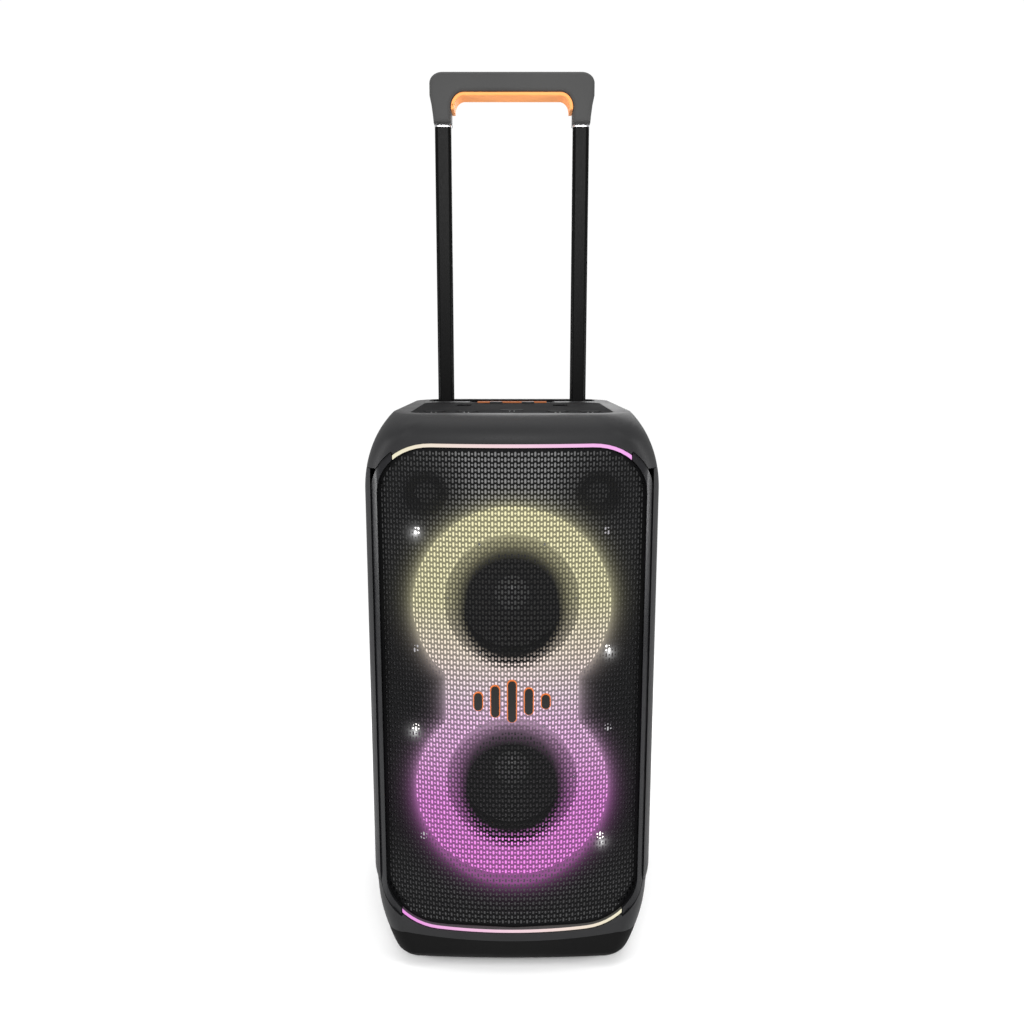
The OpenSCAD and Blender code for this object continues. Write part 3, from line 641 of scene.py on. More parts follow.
PLASTICS = {  # colour, worn colour, roughness, specular level, and the grain's size and depth
    "shell_plastic": ((31, 31, 32), (46, 46, 47), 0.5, 0.16),
    "inner_plastic": ((70, 70, 72), (90, 90, 92), 0.65, 0.2),
    "bezel_plastic": ((20, 20, 22), (38, 38, 40), 0.3, 0.18, 0.6, 0.01),
    "badge_dark": ((24, 23, 22), (44, 42, 40), 0.35, 0.25, 0.6, 0.01),
    "accent_orange": ((158, 88, 48), (184, 118, 76), 0.5, 0.1, 0.6, 0.02),
    "dust_cap_gloss": ((38, 38, 40), (64, 64, 66), 0.3, 0.5),
    "deck_plastic": ((21, 21, 22), (32, 32, 33), 0.8, 0.02, 0.9),
    "button_plastic": ((22, 22, 23), (34, 34, 35), 0.7, 0.04, 0.4),
    "knob_plastic": ((26, 26, 27), (56, 56, 56), 0.5, 0.2, 0.4),
    "grip_plastic": ((58, 58, 58), (78, 78, 77), 0.6, 0.2, 0.5),
    "battery_case": ((74, 74, 78), (104, 104, 106), 0.5, 0.35),
    "wheel_plastic": ((42, 42, 43), (84, 84, 84), 0.45, 0.35),
    "baffle_plastic": ((70, 70, 72), (90, 90, 92), 0.65, 0.2),
    "gasket_foam": ((60, 60, 61), (80, 80, 82), 0.8, 0.1),
    # Painted shade: the chin under its crease gets this darker copy of the shell plastic, for the shade under the
    # body.
    "chin_shaded_plastic": ((12, 12, 12), (20, 20, 20), 0.6, 0.06),
    "deck_mark": ((190, 190, 190), (150, 150, 150), 0.6, 0.1),
    "outline_orange": ((214, 112, 54), (232, 150, 100), 0.5, 0.2),
    "liner_orange": ((248, 158, 88), (252, 178, 112), 0.5, 0.2, 0.6, 0.02),
}
METALS = {  # colour, roughness, brushing, metallic, specular level
    "basket_metal": ((52, 52, 54), 0.45, (1, 1, 1), 0.4),
    "magnet_steel": ((140, 142, 146), 0.35, (1, 6, 1)),
    "pole_metal": ((4, 4, 4), 0.35, (14, 14, 0.4), 0.05, 0.08),
    "collar_metal": ((214, 214, 216), 0.16, (1, 1, 12)),
    "steel": ((196, 197, 202), 0.25, (1, 1, 8)),
}
PAINTS = {name: moulded(name, *row) for name, row in PLASTICS.items()}
PAINTS |= {name: metal(name, *row) for name, row in METALS.items()}
OTHERS = {
    "grille_metal": (powder_coat,),
    "strip_light": (strip_glow, CREAM, PALE_PINK, PINK),
    "strip_bottom": (strip_glow, MAGENTA, PALE_PINK, CREAM),
    "ring_light": (lit, 2, *RING_SPAN, RING_STOPS, 1.0, 0.03),
    "led_white": (lit, 2, 0, 1000, [(0, WARM_WHITE), (1, COLD_WHITE)], 2.5),
    # The unlit strobes still glow faintly: a painted glint, the small bright points on their lenses.
    "led_off": (lit, 2, 0, 1000, [(0, UNLIT_GLINT_GREY), (1, UNLIT_GLINT_GREY)], 2.0),
    "circuit_board": (circuit_board,),
    "surround_rubber": (rubber, 0.5),
    "tyre_rubber": (rubber,),
    "foot_rubber": (rubber,),
    "cone_paper": (fibre_cone,),
    "spider_cloth": (woven, tone(196, 160, 92), tone(120, 88, 40), 1.2),
    "dome_silk": (woven, tone(64, 64, 68), tone(26, 26, 28), 0.5),
}
PAINTS |= {name: make(name, *row) for name, (make, *row) in OTHERS.items()}
GLOWS = {  # share of the ring light's painted glow, and the grey painted glow under it
    "gasket_foam": (0.4, 0.045), "dome_silk": (0.4, 0.03), "basket_metal": (0.8, 0.01),
    "surround_rubber": (0.95, 0.012), "cone_paper": (0.8, 0.02), "dust_cap_gloss": (0.4, 0.05)}
# Painted light: the grille, baffle, foam, woofer parts and tweeter domes glow as emission for the ring light and
# the lit strobes shining on and through them; the grey under it is painted glow, a painted highlight in the middle
# of the dust caps and domes.
PAINTS["grille_metal"].glow(0.27, points=[STROBES[i] for i in LIT_STROBES])
PAINTS["baffle_plastic"].glow(0.4, baffle_painted_glow(PAINTS["baffle_plastic"]))
for glow_slot, (glow_share, painted_grey_glow) in GLOWS.items():
    PAINTS[glow_slot].glow(glow_share, (painted_grey_glow, painted_grey_glow, painted_grey_glow, 1))
MATERIALS = {slot: paint.material for slot, paint in PAINTS.items()}
OTHER_FINISH = {  # CAD nodes that look otherwise than their slot
    "front_baffle": "baffle_plastic", "light_strip_bottom": "strip_bottom",
    "badge_outline": "outline_orange", "grip_liner": "liner_orange"}


# ---- CAD nodes: rounded shading and materials ----

def smooth_group(limit):
    """Nodes that weld a CAD mesh and shade it smooth, but for edges sharper than limit degrees."""
    group = bpy.data.node_groups.new("smooth_by_angle", "GeometryNodeTree")
    for way in ("INPUT", "OUTPUT"):
        group.interface.new_socket("Geometry", in_out=way, socket_type="NodeSocketGeometry")

    def add(kind, **settings):
        node = group.nodes.new(kind)
        for key, value in settings.items():
            setattr(node, key, value)
        return node

    weld = add("GeometryNodeMergeByDistance")
    weld.inputs["Distance"].default_value = 0.002 * MM
    drop = add("GeometryNodeRemoveAttribute")
    drop.inputs["Name"].default_value = "custom_normal"
    soft = add("GeometryNodeSetShadeSmooth", domain="FACE")
    hard = add("GeometryNodeSetShadeSmooth", domain="EDGE")
    hard.inputs["Shade Smooth"].default_value = False
    angle = add("GeometryNodeInputMeshEdgeAngle")
    above = add("FunctionNodeCompare", data_type="FLOAT", operation="GREATER_THAN")
    above.inputs[1].default_value = math.radians(limit)
    chain = [add("NodeGroupInput"), drop, weld, soft, hard, add("NodeGroupOutput")]
    for a, b in zip(chain, chain[1:]):
        group.links.new(a.outputs[0], b.inputs[0])
    group.links.new(angle.outputs[0], above.inputs[0])
    group.links.new(above.outputs[0], hard.inputs["Selection"])
    return group


def dress_cad_nodes():
    """Every CAD node gets its slot's material and smooth shading over its curved faces."""
    group = smooth_group(30)
    for part in frame["record"]["subparts"]:
        node = frame["nodes"][part["node"]]
        finish = OTHER_FINISH.get(part["node"], part["material_slot"])
        if not node.material_slots:
            node.data.materials.append(None)
        for material_slot in node.material_slots:
            material_slot.link = "OBJECT"
            material_slot.material = MATERIALS[finish]
        node.modifiers.new("smooth", "NODES").node_group = group
        weighted = node.modifiers.new("weighted", "WEIGHTED_NORMAL")
        weighted.keep_sharp = True
    rounded = frame["nodes"]["grip_liner"].modifiers.new("rounded", "BEVEL")
    rounded.width = 1.6 * MM
    rounded.segments = 4
    rounded.angle_limit = math.radians(40)


# ---- Camera, light and floor ----

CAM_LENS, CAM_DOWN = 32.52, 10  # focal length for a 36 mm sensor, and degrees that it looks down
CAM_BEFORE, CAM_UP = 0.985, 0.731  # metres before the speaker's front, and above the floor
SKY_LIGHT, SKY_SEEN = 0.62, 1.02  # strength of the white surroundings as a light, and as seen
FLOOR_R = 1.4


def camera():
    """A camera just under a metre before the speaker, above its deck, looking 10 degrees down."""
    cam = linked("camera", bpy.data.cameras.new("camera"))
    cam.data.lens = CAM_LENS
    cam.data.sensor_width = 36
    cam.location = (0, CAD_LOW.y - CAM_BEFORE, CAM_UP)
    cam.rotation_euler = (math.radians(90 - CAM_DOWN), 0, 0)
    cam.data.clip_end = 100
    bpy.context.scene.camera = cam


def softbox(name, place, target, size, power):
    """An area light at place that faces target; size is its width and height."""
    data = bpy.data.lights.new(name, "AREA")
    data.shape = "RECTANGLE"
    data.size, data.size_y = size
    data.energy = power
    lamp = linked(name, data)
    lamp.location = place
    lamp.rotation_euler = (Vector(target) - Vector(place)).to_track_quat("-Z", "Y").to_euler()


def studio():
    """A pale floor under plain soft light, with side lights that draw the edges of the body."""
    middle = (CAD_LOW + CAD_HIGH) / 2
    for name, place, size, power in (
            ("key", (0.0, -2.3, 1.5), (1.3, 0.9), 40),
            ("left_strip", (-1.5, -0.5, 0.5), (0.35, 0.6), 14),
            ("right_strip", (1.5, -0.5, 0.5), (0.35, 0.6), 14),
            ("overhead", (0, 0.2, 2.8), (2.6, 2.0), 34),
            ("rear", (0.5, 2.2, 1.6), (1.6, 1.2), 16)):
        softbox(name, place, middle, size, power)
    world = bpy.data.worlds.new("studio")
    bpy.context.scene.world = world
    world.use_nodes = True
    sky = world.node_tree
    path = sky.nodes.new("ShaderNodeLightPath")
    brightness = sky.nodes.new("ShaderNodeMapRange")
    brightness.inputs["To Min"].default_value = SKY_LIGHT
    brightness.inputs["To Max"].default_value = SKY_SEEN
    sky.links.new(path.outputs["Is Camera Ray"], brightness.inputs["Value"])
    sky.links.new(brightness.outputs[0], sky.nodes["Background"].inputs["Strength"])
    sky.nodes["Background"].inputs["Color"].default_value = (1, 1, 1, 1)
    bpy.context.scene.view_settings.view_transform = "Standard"
    a = np.linspace(0, 2 * math.pi, 96, endpoint=False)
    rings = [np.stack([r * np.cos(a), r * np.sin(a), 0 * a], 1) for r in (0.5, FLOOR_R)]
    verts, faces = loft(rings, closed_ends=False)
    faces.append(tuple(range(96)))
    floor = recalculated(make_object("floor", verts, faces))
    paint = Paint("floor", 0.05)
    pale, paler = ((grey, grey, grey, 1) for grey in (0.93, 0.95))
    paint.set("Base Color", paint.mix(paint.noise(2.0), pale, paler))
    from_middle = paint.add("VectorMath", {0: paint.coords}, output=1, operation="LENGTH")
    paint.set("Alpha", paint.remap(from_middle, FLOOR_R * 0.5, FLOOR_R, 1.0, 0.0))
    paint.rough(paint.noise(30.0), 0.7, 0.9)
    floor.data.materials.append(paint.material)


# ---- Grille ----

PITCH_X, PITCH_Z = 3.6, 5.9  # of the holes
SLOT = (1.15, 2.75)  # half width and half height of a slot
DOT_R = 1.3
GRILLE_BORDER = 0.9
GRILLE_BANDS = 4


def hole_outline(cx, cz, slot):
    """A tall slot with round ends, or a round dot."""
    if not slot:
        return arc(cx, cz, DOT_R, DOT_R, 0, 315, 8)
    w, h = SLOT
    top = arc(0, h - w, w, w, 0, 180, 5)
    return np.concatenate([top, -top]) + [cx, cz]


def inside_grille(points, inset):
    """Which points of x and z lie inside the grille's outline, set in by inset."""
    x, z = np.abs(points[:, 0]), points[:, 1]
    rx, rz = GRILLE_CORNER
    cx = GRILLE_HALF - rx
    dz = np.maximum(GRILLE_LOW.z + rz - z, z - (GRILLE_HIGH.z - rz))
    in_box = (x < GRILLE_HALF - inset) & (dz < rz - inset)
    in_corner = ((x - cx) / (rx - inset)) ** 2 + (np.maximum(dz, 0) / (rz - inset)) ** 2 < 1
    return in_box & (in_corner | (x < cx) | (dz < 0))


def grille_band(index, radius, edges_u, outline):
    """One upright band of the perforated sheet: front and back skins and the holes' walls."""
    u0, u1 = edges_u[index], edges_u[index + 1]
    columns = [c for c in range(-60, 61) if u0 < c * PITCH_X < u1]
    middle_z = (GRILLE_LOW.z + GRILLE_HIGH.z) / 2
    points, owner, edges = [], [], []

    def add_loop(rows, tag):
        first = len(points)
        points.extend(map(tuple, rows))
        owner.extend([tag] * len(rows))
        edges.extend((first + i, first + (i + 1) % len(rows)) for i in range(len(rows)))

    side = outline[(outline[:, 0] > u0) & (outline[:, 0] < u1)]
    ends = []
    for u in (u0, u1):
        if abs(u) < outline[:, 0].max() - 0.5:
            near = outline[np.argsort(np.abs(outline[:, 0] - u))[:2]]
            top = abs(near[0][1] - middle_z)
            ends += [(u, middle_z - top), (u, middle_z + top)]
    rim = np.concatenate([side, np.array(ends).reshape(-1, 2)])
    turn = np.arctan2(rim[:, 1] - middle_z, rim[:, 0] - (u0 + u1) / 2)
    add_loop(rim[np.argsort(turn)], -1)
    rows = int((GRILLE_HIGH.z - GRILLE_LOW.z) / 2 / PITCH_Z) + 1
    tag = 0
    for c in columns:
        for r in range(-rows, rows + 1):
            hole = hole_outline(c * PITCH_X, middle_z + r * PITCH_Z, (c + r) % 2 == 0)
            flat = hole.copy()
            flat[:, 0] = radius * np.sin(hole[:, 0] / radius)
            if inside_grille(flat, GRILLE_BORDER).all():
                add_loop(hole, tag)
                tag += 1
    corners = [Vector(p) for p in points]
    flat, _, triangles, origins, _, _ = delaunay_2d_cdt(corners, edges, [], 1, 1e-5)
    tags = np.array([owner[o[0]] if o else -2 for o in origins])
    kept = [t for t in triangles if len(set(tags[list(t)])) > 1 or tags[t[0]] < 0]
    flat = np.array([tuple(p) for p in flat])
    n = len(flat)

    def skin(r):
        angle = flat[:, 0] / radius
        return np.stack([r * np.sin(angle), LENS_R - r * np.cos(angle), flat[:, 1]], 1)

    verts = np.concatenate([skin(radius), skin(radius - GRILLE_T)])
    seen = dict.fromkeys((t[i], t[(i + 1) % 3]) for t in kept for i in range(3))
    faces = [tuple(t) for t in kept] + [tuple(i + n for i in reversed(t)) for t in kept]
    faces += [(b, a, a + n, b + n) for a, b in seen if (b, a) not in seen]
    piece = make_object(f"grille_sheet_{index + 1}", to_frame(verts), faces)
    return finish_piece(piece, "root", "grille_metal", ["grille"])


def grille():
    """The perforated sheet, rolled to the front's bow, in upright bands of whole hole columns."""
    radius = LENS_R - GRILLE_LOW.y
    outline = whole(opening_half(0, 0))
    outline[:, 0] = radius * np.arcsin(outline[:, 0] / radius)
    half_u = outline[:, 0].max()
    inner = round(half_u / 2 / PITCH_X) * PITCH_X + PITCH_X / 2
    edges_u = [-half_u - 1, -inner, PITCH_X / 2, inner, half_u + 1]
    for i in range(GRILLE_BANDS):
        grille_band(i, radius, edges_u, outline)


def gasket():
    """The foam strip behind the lowest rows of the grille, bowed like it."""
    top_z, deep, thick = GRILLE_LOW.z + 18, GRILLE_LOW.y + GRILLE_T + 1.5, 1.0
    rx, rz = GRILLE_CORNER
    rings = []
    for x in np.linspace(-1, 1, 81) * (GRILLE_HALF - 18):
        across = max(0.0, abs(x) - GRILLE_HALF + rx) / (rx - 1)
        low_z = GRILLE_LOW.z + rz - (rz - 1) * math.sqrt(1 - across ** 2)
        if low_z < top_z - 1:
            d = float(bow(x, deep))
            corners = ((d, low_z), (d + thick, low_z), (d + thick, top_z), (d, top_z))
            rings.append(np.array([(x, *corner) for corner in corners]))
    piece = closed_shell("grille_gasket", rings)
    finish_piece(piece, "root", "inner_plastic", ["grille"], "gasket_foam")


# ---- Hood and chin ----

DECK_CORNER = 20.3
WELL_DEEP = 51  # of the well that the grip drops into, front to back
FINGERS = (115, 48)  # width and depth of the finger room before it
WHEEL_ROOM, ARCH_ROOM = 2.5, 5.5  # beside a tyre and round it


def shell_rings(levels, inset, front, back):
    """Rings of the body's outline at the given heights, set in by inset.
    Its corners get rounder up the hood, and its front gets straighter down the chin."""
    rings = []
    for z in levels:
        grow = HOOD_ROUNDER * (max(0.0, z - TOP_SEAM) / (DECK_Z - TOP_SEAM)) ** 2
        corner = (CORNER_W + grow, CORNER_D + grow)
        flat = CHIN_FLAT * min(1.0, max(0.0, CREASE_Z - z) / CHIN_FLAT_OVER)
        outline = plan(half_at(z) - inset, front(z) + inset, back(z) - inset, corner, flat)
        rings.append(level(outline, z))
    return rings


def front_cutter():
    """The opening for the grille, its lit lines and the bezels."""
    outline = whole(opening_half(STRIP_T + 0.4, BEZEL_W + 0.5))
    return closed_shell("front_cutter", [upright(outline, d) for d in (-20, 60)])


def level_cutter(name, outline, *heights):
    """A closed prism with an outline of x and depth, between two heights."""
    return closed_shell(name, [level(outline, z) for z in heights])


def round_cutter(name, r, low, high, centre, axis, steps=48):
    """A closed cylinder along an axis, between two places on it."""
    return merged(name, [turned([(r, low), (r, high)], centre, axis, steps)])


def hood():
    """The top cap: a brow that rolls back to the deck, with the deck and the grip well let in."""
    edge_r = 4.0

    def back(z):
        t = max(0.0, (z - DECK_Z + edge_r) / edge_r)
        return REAR_D - edge_r * (1 - math.sqrt(max(0.0, 1 - t * t)))

    brow = TOP_SEAM + BROW_START
    levels = list(np.linspace(TOP_SEAM, brow, 8))
    levels += [brow + (DECK_Z - brow) * s for s in arc(0, 0, 1, 1, 0, 90, 26)[1:, 1]]
    outer = closed_shell("hood_shell", shell_rings(levels, 0, brow_depth, back))
    ceiling = DECK_Z - WALL
    inner_levels = [TOP_SEAM - 2] + [z for z in levels if TOP_SEAM < z < ceiling] + [ceiling]
    inner = closed_shell("inner", shell_rings(inner_levels, WALL, brow_depth, lambda z: REAR_D))
    deck_low, deck_high = span("control_deck")
    well_low, well_high = span("grip_well")
    cuts = (
        ("deck_hole", (deck_low.y + deck_high.y) / 2, deck_high.x * 2 + 0.6,
         deck_high.y - deck_low.y + 0.6, DECK_CORNER, 0),
        ("well_hole", well_high.y - WELL_DEEP / 2, well_high.x * 2 + 0.4, WELL_DEEP + 0.4, 4, 0),
        ("finger_hole", well_low.y + FINGERS[1] / 2, FINGERS[0] + 0.4, FINGERS[1] + 0.4, 4, 0.5))
    cutters = [inner, front_cutter()]
    for name, mid_d, w, h, r, more in cuts:
        outline = rounded_rect(0, mid_d, w, h, r)
        cutters.append(level_cutter(name, outline, DECK_Z - 10 - more, DECK_Z + 5 + more))
    piece = carve(outer, [("DIFFERENCE", c) for c in cutters], 24)
    finish_piece(piece, "root", "shell_plastic", ["top_cap"])


def wheel_cutter(name, side, grow, x_from):
    """The space of one wheel: an arch that opens downwards and backwards."""
    low, high = span("tyre_right")
    d, z, r = (low.y + high.y) / 2, (low.z + high.z) / 2, (high.z - low.z) / 2 + ARCH_ROOM + grow
    arch = arc(d, z, r, r, 90, 180, 24)
    outline = np.concatenate([[[d + 100, -40], [d + 100, z + r]], arch, [[d - r, -40]]])
    ends = (side * x_from, side * (x_from + 100))
    return closed_shell(name, [np.insert(outline, 0, x, axis=1) for x in ends])


def chin():
    """The bottom cap: upright under the lit line, then sloping back to a round under edge."""
    levels = [BASE_Z + (CREASE_Z - BASE_Z) * (1 - c) for c in arc(0, 0, 1, 1, 0, 90, 22)[:-1, 0]]
    levels += [CREASE_Z - 0.4] + list(np.linspace(CREASE_Z, LOW_SEAM, 8))

    def back(z):
        return REAR_D - 6 * max(0.0, (BASE_Z + 12 - z) / 12) ** 2

    outer = closed_shell("chin_shell", shell_rings(levels, 0, chin_depth, back))
    twin = closed_shell("twin", shell_rings(levels, 0.02, chin_depth, back))
    inner_levels = [BASE_Z + WALL] + [z for z in levels if BASE_Z + WALL + 0.5 < z] + [LOW_SEAM + 2]
    inner = closed_shell("inner", shell_rings(inner_levels, WALL, chin_depth, lambda z: REAR_D))
    tyre_low = span("tyre_right")[0]
    housings = [wheel_cutter("housing", s, 3, tyre_low.x - WHEEL_ROOM - 3) for s in (-1, 1)]
    walls = carve(housings[0], [("UNION", housings[1]), ("INTERSECT", twin)])
    axle_low, axle_high = span("axle")
    hole_r = (axle_high.z - axle_low.z) / 2 + 0.05
    centre = (0, (axle_low.y + axle_high.y) / 2, (axle_low.z + axle_high.z) / 2)
    hole = round_cutter("axle_hole", hole_r, -200, 200, centre, 0)
    cutters = [hole, front_cutter()]
    cutters += [wheel_cutter("wheel_hole", s, 0, tyre_low.x - WHEEL_ROOM) for s in (-1, 1)]
    steps = [("DIFFERENCE", inner), ("UNION", walls)] + [("DIFFERENCE", c) for c in cutters]
    piece = carve(outer, steps, 20)
    finish_piece(piece, "root", "shell_plastic", ["bottom_cap"])
    # Painted shade: the faces under the crease get the darker copy of the shell plastic.
    piece.data.materials.append(MATERIALS["chin_shaded_plastic"])
    for face in piece.data.polygons:
        face.material_index = 1 if face.center.z < (CREASE_Z - 0.05) * MM else 0


# ---- Side panels and rear cover ----

PANEL_FRONT_X, PANEL_BACK_D = span("side_panel_right")[0].x, span("side_panel_right")[1].y
COVER_FRONT_D = span("rear_cover")[0].y
PANEL_Z = (span("side_panel_right")[0].z, span("side_panel_right")[1].z)
RIB_Z, RIB_PITCH, RIB_GAP, RIB_DEPTH = 125, 10.7, 3, 0.9
RIB_D = (72, 308)
LUG_X, PINTLE_R = 61.5, 1.5  # of the battery door's hinge
PORT_R = 36.5
REAR_CUT = (340, 380)  # depths between which a cutter goes through the rear cover


def seam_round(z):
    """How far a panel's edge is rounded off at height z, by its seams."""
    near = min(z - PANEL_Z[0], PANEL_Z[1] - z)
    return 0.5 * max(0.0, 1 - near / 0.6) ** 2


def panel_levels(extra=()):
    """The heights of a panel's rings: close together at its seams and where its outline bends."""
    low, high = PANEL_Z
    edge = [0, 0.3, 0.6]
    levels = [low + e for e in edge] + [high - e for e in edge] + list(extra)
    levels += list(np.linspace(low + 2, TAPER_TOP, 6)) + list(np.linspace(TOP_ARC[1], high - 2, 10))
    return sorted(set(round(float(z), 2) for z in levels))


def side_row(w, f, b, ribbed):
    """One skin of a side panel seen from above, from its front edge to its back edge."""
    centre_x, corner_d = w - CORNER_W, float(bow(w - CORNER_W, f)) + CORNER_D
    rear_x, rear_d = w - REAR_INSET - REAR_R, b - REAR_R
    start = -math.degrees(math.acos((PANEL_FRONT_X - centre_x) / CORNER_W))
    end = math.degrees(math.asin((PANEL_BACK_D - rear_d) / REAR_R))
    rib_low, rib_high = RIB_D
    places = [rib_low + e for e in (0, 4, 60, 120)] + [rib_high - e for e in (60, 4, 0.5)]
    face = []
    for i, d in enumerate(places):
        deep = RIB_DEPTH if ribbed and 0 < i < len(places) - 1 else 0
        face.append((w - REAR_INSET * (d - corner_d) / (rear_d - corner_d) - deep, d))
    return np.concatenate([arc(centre_x, corner_d, CORNER_W, CORNER_D, start, 0, 12), face,
                           arc(rear_x, rear_d, REAR_R, REAR_R, 0, end, 4)[1:]])


def side_shell(side):
    """A side panel: bowed at its top and bottom, with fine level grooves across its face."""
    name = "left" if side < 0 else "right"
    ribs = np.arange(RIB_Z, PANEL_Z[1] - 21, RIB_PITCH)
    steps = ((0, False), (0.3, True), (RIB_GAP - 0.3, True), (RIB_GAP, False))
    cut = {round(float(z + e), 2): deep for z in ribs for e, deep in steps}
    rings = []
    for z in panel_levels(cut):
        if any(r < z < r + RIB_GAP for r in ribs) and z not in cut:
            continue
        w, off = half_at(z), seam_round(z)
        outer = side_row(w - off, off, REAR_D - off, cut.get(z, False))
        inner = side_row(w - WALL, WALL, REAR_D - WALL, False)
        rings.append(level(np.concatenate([outer, inner[::-1]]) * [side, 1], z))
    piece = closed_shell(f"side_shell_{name}", rings)
    finish_piece(piece, "root", "shell_plastic", [f"side_panel_{name}"])


def rear_row(w, b):
    """One skin of the rear cover seen from above, from its left edge round to its right edge."""
    centre_x, centre_d = w - REAR_INSET - REAR_R, b - REAR_R
    start = math.degrees(math.asin((COVER_FRONT_D - centre_d) / REAR_R))
    turn = arc(centre_x, centre_d, REAR_R, REAR_R, start, 90, 16)
    half = np.concatenate([turn, [(centre_x / 2, b)]])
    return np.concatenate([half * [-1, 1], half[::-1]])


def rear_shell():
    """The rear cover, open for the port, the sockets and the battery door, with two hinge lugs."""
    rings = []
    for z in panel_levels():
        w, off = half_at(z), seam_round(z)
        outer, inner = rear_row(w - off, REAR_D - off), rear_row(w - WALL, REAR_D - WALL)
        rings.append(level(np.concatenate([outer, inner[::-1]]), z))
    shell = closed_shell("rear_shell", rings)
    port_low, port_high = span("bass_port")
    port_z = (port_low.z + port_high.z) / 2
    cutters = [round_cutter("port_hole", PORT_R, *REAR_CUT, (0, 0, port_z), 1, 72)]
    for name, grow_x, grow_z in (("io_panel", 0.3, 0.3), ("battery_door", 0.5, 5)):
        low, high = span(name)
        mid_z = (low.z + high.z) / 2
        outline = rounded_rect(0, mid_z, 2 * (high.x + grow_x), high.z - low.z + 2 * grow_z, 2)
        cutters.append(closed_shell(f"{name}_hole", [upright(outline, d) for d in REAR_CUT]))
    hinge = next(j for j in frame["joints"] if j["name"] == "battery_door_hinge")
    _, hinge_y, hinge_z = (v / MM for v in hinge["pos_m"])
    hinge_d = hinge_y - FRONT
    lugs = []
    for x in (-LUG_X, LUG_X):
        mid_d, deep = (hinge_d - 3.5 + REAR_D - 1) / 2, REAR_D + 2.5 - hinge_d
        outline = rounded_rect(x, mid_d, 10, deep, 0.8, 3)
        lugs.append(level_cutter("lug", outline, hinge_z - 6, hinge_z + 5))
    bore = round_cutter("bore", PINTLE_R + 0.05, -80, 80, (0, hinge_d, hinge_z), 0, 32)
    steps = [("DIFFERENCE", c) for c in cutters] + [("UNION", lug) for lug in lugs]
    steps.append(("DIFFERENCE", bore))
    finish_piece(carve(shell, steps), "root", "shell_plastic", ["rear_cover"])


# ---- Handle ----

GRIP_EDGE = 5.5
RELEASE_SLOT = (67, 17, 6)  # width, depth and corner of the release button's opening


def grip():
    """The grip: an arch drawn from the front, given depth and round edges."""
    grip_low, grip_high = span("handle_grip")
    loop_high = span("grip_liner")[1]
    outer_x, inner_x = span("handle_poles")[1].x, loop_high.x
    foot_z, top_z, bar_z = grip_low.z, grip_high.z, loop_high.z
    leg = [(outer_x + 0.5, foot_z), (outer_x + 1.2, foot_z + 8), (outer_x + 3.0, foot_z + 22),
           (grip_high.x, foot_z + 34)]
    right = np.concatenate([leg, arc(grip_high.x - 17, top_z - 14, 17, 14, 0, 90, 13)])
    inside = np.concatenate([[(inner_x, foot_z)], arc(inner_x - 17, bar_z - 19, 17, 19, 0, 90, 13)])
    mirror = [-1, 1]
    outline = np.concatenate([right, right[::-1] * mirror, inside * mirror, inside[::-1]])
    curve = bpy.data.curves.new("grip_body", "CURVE")
    curve.dimensions = "2D"
    curve.fill_mode = "BOTH"
    spline = curve.splines.new("POLY")
    spline.points.add(len(outline) - 1)
    for point, (x, z) in zip(spline.points, outline):
        point.co = (x * MM, z * MM, 0, 1)
    spline.use_cyclic_u = True
    curve.bevel_depth = GRIP_EDGE * MM
    curve.bevel_resolution = 5
    curve.offset = -GRIP_EDGE * MM
    curve.extrude = ((grip_high.y - grip_low.y) / 2 - GRIP_EDGE) * MM
    body = evaluated(linked("grip_body", curve))
    middle = (grip_low.y + grip_high.y) / 2
    for v in body.data.vertices:
        x, z, d = v.co
        v.co = (x, (FRONT + middle) * MM + d, z)
    recalculated(body, 0.01)
    slot_cut = level_cutter("slot", rounded_rect(0, middle, *RELEASE_SLOT), top_z - 9, top_z + 5)
    body = carve(body, [("DIFFERENCE", slot_cut)], 32)
    finish_piece(body, "handle", "grip_plastic", ["handle_grip"])


# ---- Small pieces ----

LENS = 2.6  # radius of a strobe light's lens
SOCKET = 0.5  # half width of a screw's socket, as a share of its head's radius
SHOULDER, TREAD_DEPTH = 4, 1.3  # of the tyres
GROOVE = (4.2, 5.8)  # where a groove runs round a tyre, from its middle


def strobes():
    """Eight strobe lights: a dished rim with a domed lens. Four are lit; the other four glow faintly as a painted
    glint.
    """
    groups = {"strobe_lit": [], "strobe_dark": []}
    for i, (low, high) in enumerate(islands("strobe_leds")):
        centre = (low + high) / 2 * [1, 0, 1]
        back, rim = high[1], (high[0] - low[0]) / 2
        profile = [(rim, back), (rim, back - 3), (rim - 0.5, back - 3.6), (LENS, back - 2.2)]
        profile += list(arc(0, back - 4, LENS, -LENS, 0, 84, 8))
        group = "strobe_lit" if i in LIT_STROBES else "strobe_dark"
        groups[group].append(turned(profile, centre, 1, 24))
    for name, shapes in groups.items():
        finish = "led_white" if name == "strobe_lit" else "led_off"
        finish_piece(merged(name, shapes), "root", "led_white", ["strobe_leds"], finish)


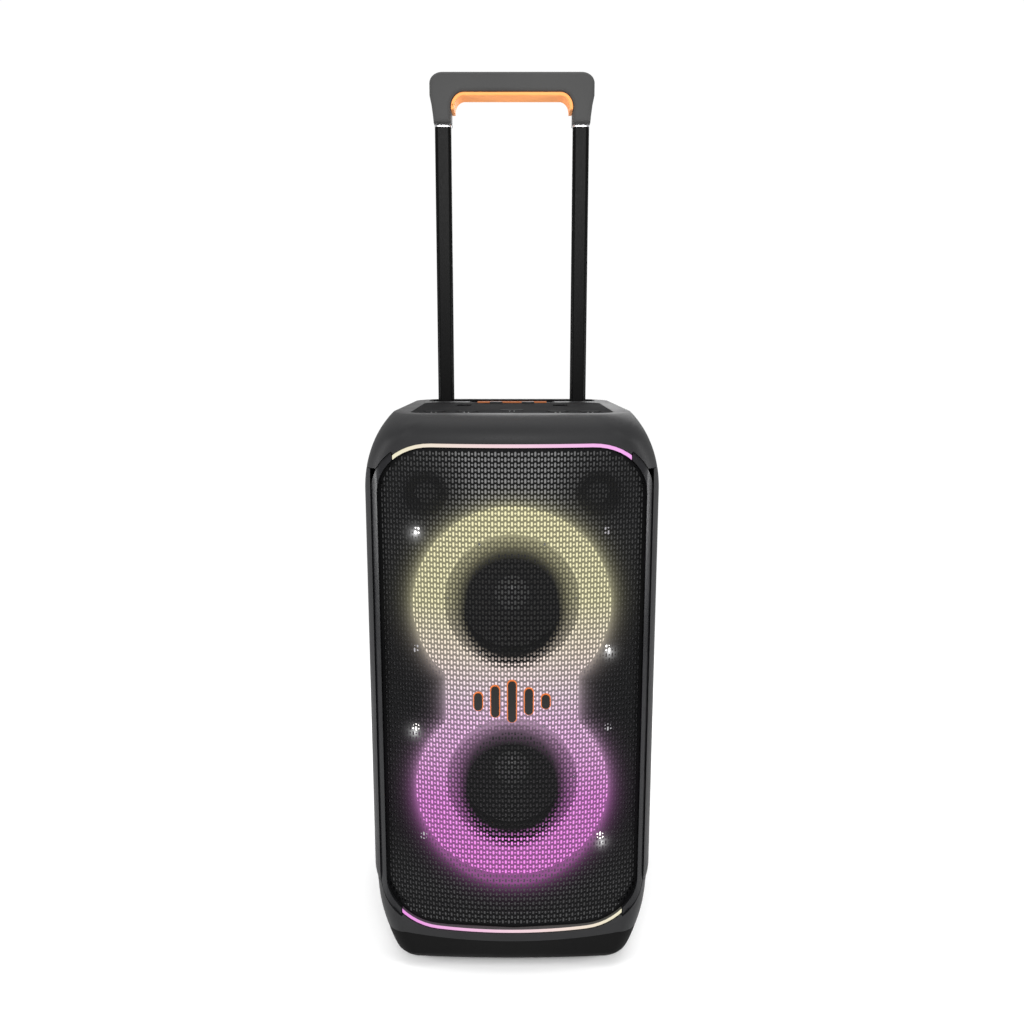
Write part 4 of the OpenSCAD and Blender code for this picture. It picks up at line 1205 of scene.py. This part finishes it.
def screw_heads():
    """Screws with a chamfered head and a six-sided socket, where the CAD screws are."""
    steps = 24
    a = np.linspace(0, 2 * math.pi, steps, endpoint=False)
    hexagon = 1 / np.cos((a % (math.pi / 3)) - math.pi / 6)
    shapes = []
    for low, high in islands("screws"):
        r = (high[0] - low[0]) / 2
        centre = (low + high) / 2 * [1, 0, 1]
        rear = low[1] > REAR_D / 2
        face, back = (high[1], low[1]) if rear else (low[1], high[1])
        deep = face + (back - face) * 0.6
        rise = face + (back - face) * 0.3
        rings = []
        socket = r * SOCKET * hexagon
        for radius, d in ((r, back), (r, rise), (r * 0.86, face), (socket, face), (socket, deep)):
            ring = np.stack([radius * np.cos(a), 0 * a + d, radius * np.sin(a)], 1)
            rings.append(ring + centre)
        shapes.append(loft(rings))
    finish_piece(merged("screw_heads", shapes), "root", "steel", ["screws"])


def deck_marks():
    """A small printed dot on the deck before each button."""
    shapes = []
    for node in ("light_button", "bass_button", "play_button", "pairing_button", "power_button"):
        low, high = span(node)
        for side in (-1, 1):
            centre = ((low.x + high.x) / 2 + side * 2.6, low.y - 4, DECK_Z)
            shapes.append(turned([(1.1, -0.3), (1.1, 0.08), (0.8, 0.12)], centre, 2, 20))
    finish_piece(merged("deck_marks", shapes), "root", "deck_plastic", finish="deck_mark")


def tyre_tread(side):
    """A tyre with rounded shoulders, two grooves round it and angled cuts across its tread."""
    name = "left" if side < 0 else "right"
    low, high = span(f"tyre_{name}")
    centre = (low + high) / 2
    r, w = (high.z - low.z) / 2, (high.x - low.x) / 2
    steps, inner_r = 180, 30.0
    across = [(inner_r, w)] + list(arc(r - SHOULDER, w - SHOULDER, SHOULDER, SHOULDER, 90, 0, 7))
    tread = [(r, x) for x in np.linspace(w - 4.6, 4.6 - w, 15)]
    profile = across + tread + [(rr, -x) for rr, x in reversed(across)]
    rings = []
    for k in range(steps):
        a = 2 * math.pi * k / steps
        ring = []
        for rr, x in profile:
            cut = (k + round(abs(x) / 2.2)) % 10 < 3 and abs(x) > 2
            groove = GROOVE[0] < abs(x) < GROOVE[1]
            radius = rr - (TREAD_DEPTH if rr >= r - 0.1 and (cut or groove) else 0)
            ring.append((x, radius * math.cos(a), radius * math.sin(a)))
        rings.append(np.array(ring) + centre)
    rings.append(rings[0])
    verts, faces = loft(rings, closed_ends=False)
    piece = recalculated(make_object(f"tyre_tread_{name}", to_frame(verts), faces, 40), 0.001)
    smoothed(piece.data, 40)
    finish_piece(piece, f"wheel_{name}", "tyre_rubber", [f"tyre_{name}"])


camera()
studio()
dress_cad_nodes()
grille()
hood()
chin()
grip()
strobes()
screw_heads()
gasket()
rear_shell()
deck_marks()
for hand in (-1, 1):
    side_shell(hand)
    tyre_tread(hand)
